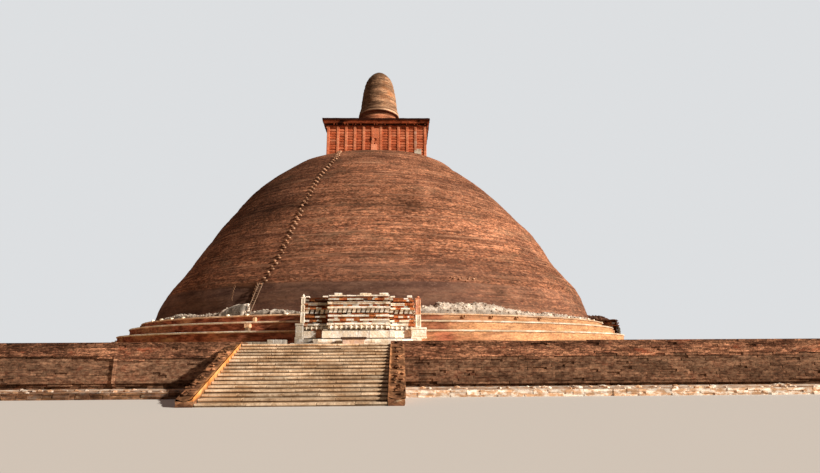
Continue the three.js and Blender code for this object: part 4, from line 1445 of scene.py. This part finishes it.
def turned_masonry(outline, rows, seed, rough, foot, bands):
    """Weathered round masonry of the spire, from [radius, height] points."""
    profile = smooth_path(outline, rows)
    bearings = full_circle(SPIRE_COLUMNS)
    points = around(profile, bearings)
    ledge = dice(seed).uniform(-1, 1, (rows, 1))
    relief = 0.5 * ledge * (0.6 + 0.4 * noise(points, (4, 4, 2), seed + 1))
    relief = relief + noise(points, (0.8, 0.8, 0.4), seed + 2) + noise(points, (2, 2, 1.5), seed + 3)
    relief = rough * (relief - 1) * np.clip(profile[:, :1] / 1.5, 0, 1)
    points = around(profile, bearings, relief, CROWN_X + SPIRE_SHIFT)
    # Painted shade: the side away from the key light is darkened, in patches.
    shaded_side = np.exp(-((side_bearing(bearings, SHADED_SIDE[0], 360) / SHADED_SIDE[1]) ** 2))
    tone = 0.5 + 0.12 * ledge + 0.26 * noise(points, (2.6, 2.6, 1.0), seed + 4) - 0.6 * shaded_side
    tone = tone - 0.14 * ease(profile[:, 1:], *DARK_TOP)
    tone = tone - 0.9 * shaded_side * np.clip(noise(points, (1.6, 1.6, 1.3), seed + 5), 0, 1)
    kind = np.zeros(tone.shape)
    for low, high, share, change in bands:
        inside = ((profile[:, 1] >= foot + low) & (profile[:, 1] <= foot + high))[:, None]
        kind = np.where(inside, share, kind)
        tone = tone + inside * change
    slant = np.linspace(0, 1, rows) * travelled(profile)[-1]
    bond = joined(np.radians(bearings) * 4.5, slant[:, None])
    return shell(points, tone=tone, kind=kind, bond=bond)


def spire_drum():
    """Drum under the spire, with a painted highlight on its flare and painted shade on the neck below
    the spire's ring.
    """
    wide, foot = highest("spire_drum")[1] + 0.22, lowest("spire_drum")[2]
    return turned_masonry(np.add(DRUM_OUTLINE, [wide, foot]), 48, 111, 0.04, foot, DRUM_BANDS)


def spire():
    """Spire: a light ring at its foot, and the tapering body up to its blunt top."""
    points = real_points("spire")
    levels = np.unique(np.round(points[:, 2], 2))
    body = [[np.abs(points[np.abs(points[:, 2] - z) < 0.02][:, 1]).max(), z] for z in levels[4:]]
    body = np.array(body)
    body[:, 0] += 0.14 - 0.3 * ease(body[:, 1], 68, 73)
    body[-1, 1] -= 0.18
    foot = levels[0] - 0.6
    outline = np.vstack([np.add(SPIRE_RING, [0, foot]), body, [0.01, levels[-1] - 0.22]])
    return turned_masonry(outline, 100, 121, 0.06, foot, SPIRE_BANDS)


# Altar frontispieces

# Half width and front of each bay, in the lower zone and above it
LOW_BAYS = ((4.4, 57.13), (6.75, 56.42))
BAYS = ((3.7, 57.13), (6.75, 56.42))
LOW_ZONE_TOP = 5.05
ALTAR_BACK = 46
# How far back the sides have blocks, and ornaments
BLOCKS_REACH = 6.5
ORNAMENT_REACH = 3
WING_DROP = (0.07, 0.15)
# Upright outlines of the courses: out and up as shares of their reach and height
SLAB = ((0, 0.01), (0.98, 0.01), (1, 0.06), (1, 0.94), (0.98, 0.99), (0, 0.99))
TORUS = ((0, 0), (0.8, 0), (0.93, 0.12), (1, 0.35), (1, 0.65), (0.93, 0.88), (0.8, 1), (0, 1))
CAVETTO = ((0, 0), (0.72, 0), (0.74, 0.3), (0.8, 0.55), (0.92, 0.78), (1, 0.82), (1, 1), (0, 1))
# Courses of the frontispiece: foot, top, reach, outline, block length, shares of stone and of
# lost blocks, tone
# Painted shade: the courses set back behind the front carry lower tones than those that stand out.
ALTAR_COURSES = (
    (3.85, 3.96, -0.14, SLAB, 1.1, 1.0, 0.0, 0.16),
    (3.97, 4.86, 0.0, SLAB, 0.85, 1.0, 0.0, 0.6),
    (4.87, 5.06, -0.08, SLAB, 1.1, 0.9, 0.0, 0.24),
    (5.07, 5.48, -0.2, SLAB, 1.0, 1.0, 0.0, 0.5),
    (5.49, 5.8, 0.14, TORUS, 1.0, 1.0, 0.0, 0.62),
    (5.81, 6.01, -0.03, SLAB, 0.6, 0.45, 0.0, 0.36),
    (6.02, 6.26, 0.05, SLAB, 0.7, 0.75, 0.0, 0.58),
    (6.27, 6.51, -0.1, SLAB, 0.45, 0.1, 0.02, 0.4),
    (6.52, 6.77, 0.04, SLAB, 0.6, 0.85, 0.06, 0.58),
    (6.78, 6.99, -0.08, SLAB, 0.5, 0.12, 0.02, 0.36),
    (7.0, 7.5, -0.26, SLAB, 1.0, 0.9, 0.0, 0.3),
    (7.51, 7.77, 0.16, TORUS, 1.0, 1.0, 0.0, 0.62),
    (7.78, 8.03, -0.06, SLAB, 0.5, 0.35, 0.0, 0.34),
    (8.04, 8.34, 0.16, CAVETTO, 0.9, 0.95, 0.0, 0.6),
    (8.35, 8.54, -0.16, SLAB, 0.5, 0.4, 0.05, 0.16),
    (8.55, 8.78, 0.04, SLAB, 0.5, 0.45, 0.04, 0.46),
    (8.8, 9.0, -0.1, SLAB, 0.7, 0.35, 0.0, 0.34),
    (9.0, 9.17, 0.03, SLAB, 0.8, 1.0, 0.04, 0.6),
)
HEAD_FRIEZE = (5.07, 5.49)
BRACKET_FRIEZE = (7.0, 7.5)
HEAD_PITCH = 0.61
BRACKET_PITCH = 0.56
# Knobs of a worn head: sideways, outwards, share of the height, sizes and change of tone
HEAD_KNOBS = (
    (0, -0.14, 0.6, (0.4, 0.44, 0.44), 0.0), (0, -0.01, 0.32, (0.17, 0.22, 0.38), 0.04),
    (-0.21, -0.17, 0.55, (0.2, 0.34, 0.38), -0.06), (0.21, -0.17, 0.55, (0.2, 0.34, 0.38), -0.06),
)
# Section of a bracket: out, and share of its height
BRACKET = (
    (-0.4, 0), (0.02, 0), (0.05, 0.12), (-0.02, 0.3), (-0.04, 0.5), (0.04, 0.75), (0.1, 1), (-0.4, 1),
)
# Last blocks of a lost course: left, right, foot, top and depth behind the front
TOP_BLOCKS = (
    (-3.05, -2.1, 9.17, 9.42, 0.3), (0.1, 1.5, 9.17, 9.42, 0.3), (2.5, 3.6, 9.17, 9.42, 0.3),
    (3.8, 4.4, 8.88, 9.1, 1.0), (5.9, 6.55, 8.88, 9.15, 1.0), (-4.6, -3.95, 8.94, 9.14, 1.0),
    (-6.65, -6.2, 8.94, 9.1, 1.0),
)
# Brick repairs of the dado: left, right, kind and tone. Hollow in the left wing: left, right, heights
DADO_REPAIRS = ((-5.25, -4.4, 0.1, 0.36), (5.5, 6.3, 0.5, 0.64))
DADO_FOOT = 3.9
HOLLOW = (-5.6, -3.7, 8.3, 8.7)
WINGS_TOP = 8.9
# Offering table: left, right, foot of its slab and top of its slab
TABLE = (-1.85, 1.1, 3.74, 4.02)
# Slabs left of the base, darkened with the painted shadow of the frontispiece: left end, length, Y, and
# X beyond which they are higher
SIDE_SLABS = (-13.2, 5.0, -59.0, -10.4)
# Worn frontispiece: set back from the front, and the middle and reach of the mound on it
WORN_SET_BACK = 2.5
MOUND_MIDDLE = (0, -52.4, 8.85)
MOUND_REACH = (12.4, 7.8, 2.5)
MOUND_STONES = 110
# End pillars: front, and shares of the height between their three parts
PILLAR_FRONT = 56.6
PILLAR_CUTS = (0, 0.42, 0.7, 0.93)
# Foot and top of what is left of a pillar on a fallen and on a worn frontispiece
PILLAR_STUMP = (4.6, 4.9)
WORN_PILLAR = (5.3, 7.0)
# Left, right and top of the pedestal, middle, width and top of the pillar, and change of tone
PILLARS = {-1: (-7.75, -6.72, 5.75, -6.95, 0.5, 9.06, 0.1), 1: (6.37, 8.3, 5.21, 7.27, 0.68, 8.91, 0)}


def altar_path(bays, reach, cut_back):
    """Corner points of the stepped outline from its left back round to its right back."""
    right = []
    for index, (half, front) in enumerate(bays):
        face = cut_back - front - reach
        if index:
            right.append([bays[index - 1][0] + reach, face])
        right.append([half + reach, face])
    right.append([bays[-1][0] + reach, -ALTAR_BACK])
    return np.array([[-x, y] for x, y in reversed(right)] + right)


def front_part(first, last, reach):
    """Both ends of a face. One that runs back is built only as far as reach."""
    if abs(first[0] - last[0]) > 1e-6:
        return first, last
    far = min(first[1], last[1]) + reach
    return tuple(np.array([x, min(y, far)]) for x, y in (first, last))


def along_path(path, shortest, longest, random):
    """Start and end points of the stretches between joints along an outline."""
    starts, ends = [], []
    for first, last in zip(path, path[1:]):
        first, last = front_part(first, last, BLOCKS_REACH)
        length = np.linalg.norm(last - first)
        way = (last - first) / length
        joints = split(length, shortest, longest, random)
        for low, high in zip(joints, joints[1:]):
            starts.append(first + way * (low + 0.008))
            ends.append(first + way * (high - 0.008))
    return np.array(starts), np.array(ends)


def altar_course(draft, course, state, seed):
    """One course of blocks round the frontispiece."""
    foot, top, reach, shape, length, stone, lost, tone = course
    random = dice(seed)
    low_zone = foot < LOW_ZONE_TOP
    bays = LOW_BAYS if low_zone else BAYS
    path = altar_path(bays, reach, state["cut_back"])
    starts, ends = along_path(path, length * 0.6, length * 1.4, random)
    count = len(starts)
    x, y = ((starts + ends) / 2).T
    wing = np.abs(x) > bays[0][0] + 0.3
    left, right = wing & (x < 0), wing & (x > 0)
    drop = (WING_DROP[0] * left + WING_DROP[1] * right) * (not low_zone)
    out, up = np.transpose(shape)
    worn = random.uniform(-0.05, 0.0, count)[:, None]
    rise = (top - foot - random.uniform(0, 0.04, count))[:, None]
    outlines = joined(0.55 * (out - 1) + worn, foot + up * rise - drop[:, None])
    share = stone * state["stone"]
    if not low_zone:
        share = share * np.where(left, 0.5, np.where(right, 0.78, 1.0))
    kind = (random.random(count) < share) * 0.97
    tones = tone + random.normal(0, 0.06, count) - 0.22 * left + 0.11 * right - state["dull"]
    gone = random.random(count) < lost + state["missing"]
    if DADO_FOOT < foot < LOW_ZONE_TOP:
        for start, end, stone, tone in DADO_REPAIRS:
            repaired = (x > start) & (x < end) & (y < state["cut_back"] - 50)
            kind, tones = np.where(repaired, stone, kind), np.where(repaired, tone, tones)
    if HOLLOW[2] < foot < HOLLOW[3]:
        gone |= (x > HOLLOW[0]) & (x < HOLLOW[1])
    kept = ~(gone | wing & (foot > WINGS_TOP))
    lines = [joined(*points[kept].T, 0) for points in (starts, ends)]
    tones = np.clip(tones[kept], 0.02, 1)
    bars(draft, *lines, outlines[kept], tone=tones, kind=kind[kept])


def solid_core(draft, path, low, high, **notes):
    """Adds a core over an outline, closed by a flat top."""
    size = len(path)
    ring = [joined(*path.T, level) for level in (low, high)]
    lid = [[size + index, size + (index + 1) % size, 2 * size] for index in range(size)]
    points = np.vstack([*ring, [0, -ALTAR_BACK - 2, high]])
    draft.add(points, grid_faces(2, size, wrap_columns=True), lid, **notes)


def frieze_places(pitch, reach, state, random):
    """Places of the ornaments left along the faces that look outwards, and both directions."""
    path = altar_path(BAYS, reach, state["cut_back"])
    places, turns = [], []
    for first, last in zip(path, path[1:]):
        first, last = front_part(first, last, ORNAMENT_REACH)
        way = last - first
        count = max(1, int(np.linalg.norm(way) / pitch))
        for index in range(count):
            x, y = first + way * (index + 0.5) / count
            drop = WING_DROP[int(x > 0)] * (abs(x) > BAYS[0][0] + 0.3)
            places.append([x, y, -drop])
            turns.append(math.atan2(way[1], way[0]))
    kept = random.random(len(places)) > state["missing"] * 2
    return np.array(places)[kept], *directions(np.array(turns)[kept])


def head_frieze(draft, state, seed):
    """Row of worn animal heads: a skull, a trunk and two ears each."""
    low, high = HEAD_FRIEZE
    random = dice(seed)
    places, out, along = frieze_places(HEAD_PITCH, 0.0, state, random)
    left = places[:, 0] < -BAYS[0][0] - 0.3
    tone = random.uniform(0.52, 0.66, len(places)) - 0.18 * left - state["dull"]
    wobble = random.uniform(0.9, 1.1, (len(places), 1))
    for sideways, outward, level, (wide, deep, tall), shade in HEAD_KNOBS:
        spots = places + along * sideways + out * outward + [0, 0, low + (high - low) * level]
        facing = np.abs(along[:, :1]) > 0.5
        sizes = np.where(facing, [wide, deep, tall], [deep, wide, tall]) * wobble
        pebbles(draft, spots, sizes, 8, 6, 0.03, seed + 1, tone=tone + shade, kind=0.97)


def bracket_frieze(draft, state, seed):
    """Row of slanting brackets under the upper moulding."""
    low, high = BRACKET_FRIEZE
    random = dice(seed)
    places, _, along = frieze_places(BRACKET_PITCH, -0.02, state, random)
    outline = np.array(BRACKET) * [1, high - low] + [0, low]
    half, lean = 0.19, 0.3
    left = places[:, 0] < -BAYS[0][0] - 0.3
    tone = random.uniform(0.34, 0.56, len(places)) - 0.1 * left - state["dull"]
    places = places - along * lean * (low + high) / 2
    bars(draft, places - along * half, places + along * half, outline, lean, tone=tone, kind=0.9)


def altar_base(state):
    """Two courses of stone slabs round the foot, with the offering table at the middle."""
    draft = Draft()
    reach = ALTAR_BASE_FRONT - 1 - BAYS[0][1]
    low, middle, top = PLATFORM_TOP, 3.4, ALTAR_BASE_TOP
    altar_course(draft, (low, middle, reach, SLAB, 1.5, 1.0, 0, 0.5), state, 201)
    altar_course(draft, (middle, top, reach - 0.45, TORUS, 1.3, 1.0, 0, 0.58), state, 202)
    for foot, level, spread in ((low, middle, reach), (middle, top, reach - 0.45)):
        path = altar_path(LOW_BAYS, spread - 0.3, state["cut_back"])
        solid_core(draft, path, foot, level - 0.02, tone=0.5, kind=0.7)
    random = dice(203)
    if not state["worn"]:
        start, length, y, change = SIDE_SLABS
        joints = split(length, 0.7, 1.3, random)
        x = start + (joints[:-1] + joints[1:]) / 2
        tall = np.where(x > change, 0.84, 0.62)
        sizes = joined(np.diff(joints) - 0.03, 1.0, tall)
        # Painted shadow: low tones for the slabs in the frontispiece's shadow.
        tone = random.uniform(0.16, 0.28, len(x)) + 0.08 * (x > change)
        places = joined(x, y, low + tall / 2)
        blocks(draft, places, sizes, cut=0.05, rough=0.03, seed=204, tone=tone, kind=1.0)
    left, right, under, over = TABLE
    front = state["cut_back"] - BAYS[0][1] - reach - 0.42
    trunk, slab = (right - left - 0.4, 1.0, under - low), (right - left, 1.1, over - under)
    # Partly painted shade: the table's slab is dark brown, darker than its trunk, for its own colour
    # and for the shade on it.
    for foot, size, rough, tone, kind in ((low, trunk, 0.01, 0.6, 0.5), (under, slab, 0.015, 0.1, 0.3)):
        place = [(left + right) / 2, front, foot + size[2] / 2]
        blocks(draft, place, size, cut=0.03, rough=rough, tone=tone, kind=kind)
    return draft


def altar_body(state):
    """The standing courses of one frontispiece, with its friezes and broken top."""
    draft = Draft()
    top = state["top"]
    core = altar_path(BAYS, -0.42, state["cut_back"])
    # Painted shade: the core is dark, so that where courses are missing it shows as shade.
    solid_core(draft, core, ALTAR_BASE_TOP - 0.3, min(top, WINGS_TOP) - 0.25, tone=0.14)
    for number, course in enumerate(ALTAR_COURSES):
        if course[1] <= top + 0.2:
            altar_course(draft, course, state, 210 + number)
    if top > HEAD_FRIEZE[1]:
        head_frieze(draft, state, 250)
        bracket_frieze(draft, state, 260)
    if state["worn"]:
        rubble_mound(draft, np.add(MOUND_MIDDLE, [0, state["cut_back"], 0]))
    elif top > HEAD_FRIEZE[1]:
        loose_top(draft)
    return draft


def rubble_mound(draft, middle):
    """Mound of rubble on a worn frontispiece."""
    pebbles(draft, middle, MOUND_REACH, 40, 16, 0.03, 60, tone=0.14, kind=0.15)
    random = dice(61)
    turn = random.uniform(0, 2 * math.pi, MOUND_STONES)
    height = random.uniform(0.05, 1, MOUND_STONES)
    flat = np.sqrt(1 - height**2)
    places = middle + joined(np.cos(turn) * flat, np.sin(turn) * flat, height) * MOUND_REACH / 2
    sizes = random.uniform([0.3, 0.3, 0.2], [1.0, 0.9, 0.5], (MOUND_STONES, 3))
    tone = random.uniform(0.06, 0.3, MOUND_STONES)
    pebbles(draft, places, sizes, 6, 4, 0.2, 62, tone=tone, kind=0.3)


def loose_top(draft):
    """Last blocks of a lost course on the top."""
    random = dice(260)
    for left, right, low, high, depth in TOP_BLOCKS:
        count = max(1, round((right - left) / 0.5))
        size = (right - left) / count
        tall = (high - low) * random.uniform(0.85, 1.0, count)
        x = left + size * (np.arange(count) + 0.5)
        places = joined(x, depth + 0.05 - BAYS[0][1], low + tall / 2)
        sizes = joined(size - 0.02, 0.55, tall)
        tone = random.uniform(0.55, 0.68, count)
        turns = random.normal(0, 3, count)
        blocks(draft, places, sizes, turns, 0, 0.03, 0.02, 261, tone=tone, kind=0.97)


def altar_pillar(side, state):
    """Carved end pillar with sunk panels and a finial, on its pedestal."""
    draft = Draft()
    front = state["cut_back"] - PILLAR_FRONT
    left, right, foot_top, middle, width, pillar_top, grey = PILLARS[side]
    whole = state["top"] > HEAD_FRIEZE[1]
    if not whole:
        foot_top, pillar_top = PILLAR_STUMP
    elif state["worn"]:
        foot_top, pillar_top = WORN_PILLAR
    shade = state["dull"] + grey + 0.2 * state["worn"]
    levels = [ALTAR_BASE_TOP, ALTAR_BASE_TOP + 0.25, foot_top - 0.28, foot_top]
    tone = 0.62 - shade - 0.18 * (side < 0)
    for low, high, slim in zip(levels, levels[1:], (0, 0.12, 0)):
        place = [(left + right) / 2, front + 0.27, (low + high) / 2]
        size = (right - left - slim, 1.1 - slim, high - low - 0.01)
        blocks(draft, place, size, cut=0.04, rough=0.012, seed=271, tone=tone, kind=1.0)
    tall = pillar_top - foot_top
    warm = side > 0 and whole
    cuts = list(zip(PILLAR_CUTS, PILLAR_CUTS[1:])) if tall > 1 else [(0, 0.9)]
    for number, (low, high) in enumerate(cuts):
        kind, tone = (0.2, 0.8) if warm and number > 0 else (1.0, 0.62 - shade)
        slim, high_size = width - 0.03 * number, tall * (high - low)
        level = foot_top + tall * (low + high) / 2
        shaft = (0, 0.25, (slim, 0.42, high_size - 0.015), 0.035, 272, 0)
        panel = (0, 0.06, (slim * 0.5, 0.08, high_size * 0.75), 0.03, 273, -0.12)
        beads = [(edge, 0.04, (0.07, 0.1, high_size * 0.8), 0.02, 274, 0.05) for edge in (-0.4, 0.4)]
        for edge, back, size, cut, seed, change in (shaft, panel, *beads):
            notes = {"rough": 0.01, "seed": seed, "tone": tone + change, "kind": kind}
            blocks(draft, [middle + edge * slim, front + back, level], size, cut=cut, **notes)
    if tall > 1:
        place = np.array([middle, front + 0.25, foot_top + tall * PILLAR_CUTS[-1]])
        notes = {"tone": 0.66 - shade, "kind": 0.1 if warm else 1.0}
        blocks(draft, place + [0, 0, 0.06], (width + 0.1, 0.5, 0.12), **notes)
        pebbles(draft, place + [0, 0, 0.26], (0.42, 0.42, 0.34), 12, 7, 0.02, 276, **notes)
        if not warm:
            pebbles(draft, place + [0, 0, 0.44], (0.2, 0.2, 0.2), 10, 6, 0.02, 277, **notes)
    return draft


def altar_state(name):
    """What is left of one side's frontispiece."""
    low, high = lowest(f"{name}_altar_body"), highest(f"{name}_altar_body")
    reach = np.abs([low, high])[:, :2].max()
    worn = reach < -lowest("front_altar_body")[1] - 1
    fallen = high[2] < HEAD_FRIEZE[1]
    return {
        "cut_back": WORN_SET_BACK if worn else 0.0,
        "top": high[2],
        "worn": worn,
        "stone": 0.15 if worn else 1.0,
        "missing": 0.12 if worn else 0.06 if fallen else 0.0,
        "dull": 0.22 if worn else 0.05 if fallen else 0.0,
    }


# Setting: floor, light and camera

def studio_floor():
    """Plain pale floor."""
    half = FLOOR_SIZE / 2
    mesh = bpy.data.meshes.new("studio_floor")
    corners = [(-half, -half, 0), (half, -half, 0), (half, half, 0), (-half, half, 0)]
    mesh.from_pydata(corners, [], [(0, 1, 2, 3)])
    mesh.materials.append(Finish("studio_floor").done(colour(FLOOR_COLOUR)))
    placed("studio_floor", mesh)


def studio_light():
    """A broad key light from the right, and an even warm glow from all round."""
    lamp = bpy.data.lights.new("key_light", "SUN")
    lamp.energy = KEY_STRENGTH
    lamp.angle = math.radians(KEY_SPREAD)
    lamp.color = KEY_COLOUR
    rise = math.radians(KEY_HEIGHT)
    towards, _ = at_bearing(KEY_BEARING, math.cos(rise), math.sin(rise))
    key = placed("key_light", lamp)
    key.rotation_mode = "QUATERNION"
    key.rotation_quaternion = Vector(towards).to_track_quat("Z", "Y")
    world = bpy.data.worlds.new("studio")
    world.use_nodes = True
    nodes, links = world.node_tree.nodes, world.node_tree.links
    path, either = nodes.new("ShaderNodeLightPath"), nodes.new("ShaderNodeMixShader")
    links.new(path.outputs["Is Camera Ray"], either.inputs[0])
    glows = (GLOW_COLOUR, STUDIO_GLOW), (BACKDROP_COLOUR, STUDIO_BRIGHTNESS)
    for place, (shade, strength) in enumerate(glows):
        glow = nodes.new("ShaderNodeBackground")
        glow.inputs["Color"].default_value = shade
        glow.inputs["Strength"].default_value = strength
        links.new(glow.outputs[0], either.inputs[place + 1])
    links.new(either.outputs[0], nodes["World Output"].inputs["Surface"])
    bpy.context.scene.world = world
    bpy.context.scene.view_settings.view_transform = "Standard"


def photo_camera():
    """Camera at the photograph's place, looking the same way."""
    data = bpy.data.cameras.new("camera")
    data.sensor_width = SENSOR_WIDTH
    data.lens = CAMERA_LENS
    data.clip_start = 0.05
    data.clip_end = FLOOR_SIZE * 2
    camera = placed("camera", data)
    turn = Matrix.Translation(Vector(CAMERA_PLACE) * REAL)
    for degrees, axis in ((-CAMERA_YAW, "Z"), (90 + CAMERA_PITCH, "X"), (CAMERA_ROLL, "Z")):
        turn = turn @ Matrix.Rotation(math.radians(degrees), 4, axis)
    camera.matrix_world = turn
    bpy.context.scene.camera = camera


# Assembly

def give(node, material):
    """Puts a finish on a solid that shows as it is."""
    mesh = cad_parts[node].data
    mesh.materials.clear()
    mesh.materials.append(material)


def dress(side, parts):
    """Makes the pieces of one side: draft, name, finish, slot and node of each."""
    for draft, name, finish, slot, node in parts:
        draft.quarter_turned(SIDES.index(side))
        draft.piece(f"{side}_{name}", finish, slot, [f"{side}_{node}"])


def build_platform():
    """Walls, footings, steps and cheeks of all sides, and the finish of the platform's top."""
    walls, footings = wall_brick(), footing_brick()
    stone, cheeks = step_stone(), cheek_brick()
    for side in SIDES:
        parts = (
            (retaining_wall(), "wall_masonry", walls, "wall_brick", "platform_wall"),
            (wall_footing(), "footing_masonry", footings, "wall_brick", "wall_footing"),
            (flight_of_steps(), "step_slabs", stone, "step_stone", "steps"),
            (step_cheek(-1), "left_cheek_masonry", cheeks, "cheek_brick", "steps_left_cheek"),
            (step_cheek(1), "right_cheek_masonry", cheeks, "cheek_brick", "steps_right_cheek"),
        )
        dress(side, parts)
    give("platform_fill", platform_stone())


def build_altars():
    """Frontispieces of all sides, each with its two pillars."""
    masonry = altar_masonry()
    for side in SIDES:
        state = altar_state(side)
        parts = (
            (altar_base(state), "altar_slabs", masonry, "altar_stone", "altar_base"),
            (altar_body(state), "altar_courses", masonry, "altar_stone", "altar_body"),
            (altar_pillar(-1, state), "left_stela", masonry, "altar_stone", "altar_left_pillar"),
            (altar_pillar(1, state), "right_stela", masonry, "altar_stone", "altar_right_pillar"),
        )
        dress(side, parts)


def build_mound():
    """Terraces and dome with what stands on them, and the finish of the ladder."""
    brick = terrace_brick()
    for name, stone in zip(TERRACES, (0.95, 0.95, 0.4)):
        terrace(name, stone).piece(f"{name}_masonry", brick, "terrace_brick", [name])
    terrace_details().piece("terrace_details", brick, "terrace_brick")
    plaster_remains().piece("plaster_remains", old_plaster(), "terrace_brick")
    surface = dome_surface()
    brick = dome_brick()
    halves = ("dome_lower", slice(0, DOME_CUT + 1)), ("dome_upper", slice(DOME_CUT, DOME_ROWS + 1))
    for name, rows in halves:
        dome_part(surface, rows).piece(name, brick, "dome_brick", ["dome"], True)
    tan = tan_masonry()
    climbing_blocks().piece("climbing_blocks", tan, "dome_brick")
    drain_dots().piece("drain_plugs", tan, "dome_brick")
    recess_poles().piece("recess_poles", tan, "dome_brick")
    give("access_ladder", ladder_iron())


def build_crown():
    """Square enclosure, cornice, drum and spire."""
    red, grey = harmika_brick(), spire_brick()
    harmika().piece("harmika_masonry", red, "harmika_brick", ["harmika"])
    cornice().piece("cornice_masonry", red, "harmika_brick", ["harmika_cornice"])
    spire_drum().piece("spire_drum_masonry", grey, "spire_brick", ["spire_drum"], True)
    spire().piece("spire_masonry", grey, "spire_brick", ["spire"], True)


photo_camera()
studio_light()
studio_floor()
build_platform()
build_altars()
build_mound()
build_crown()
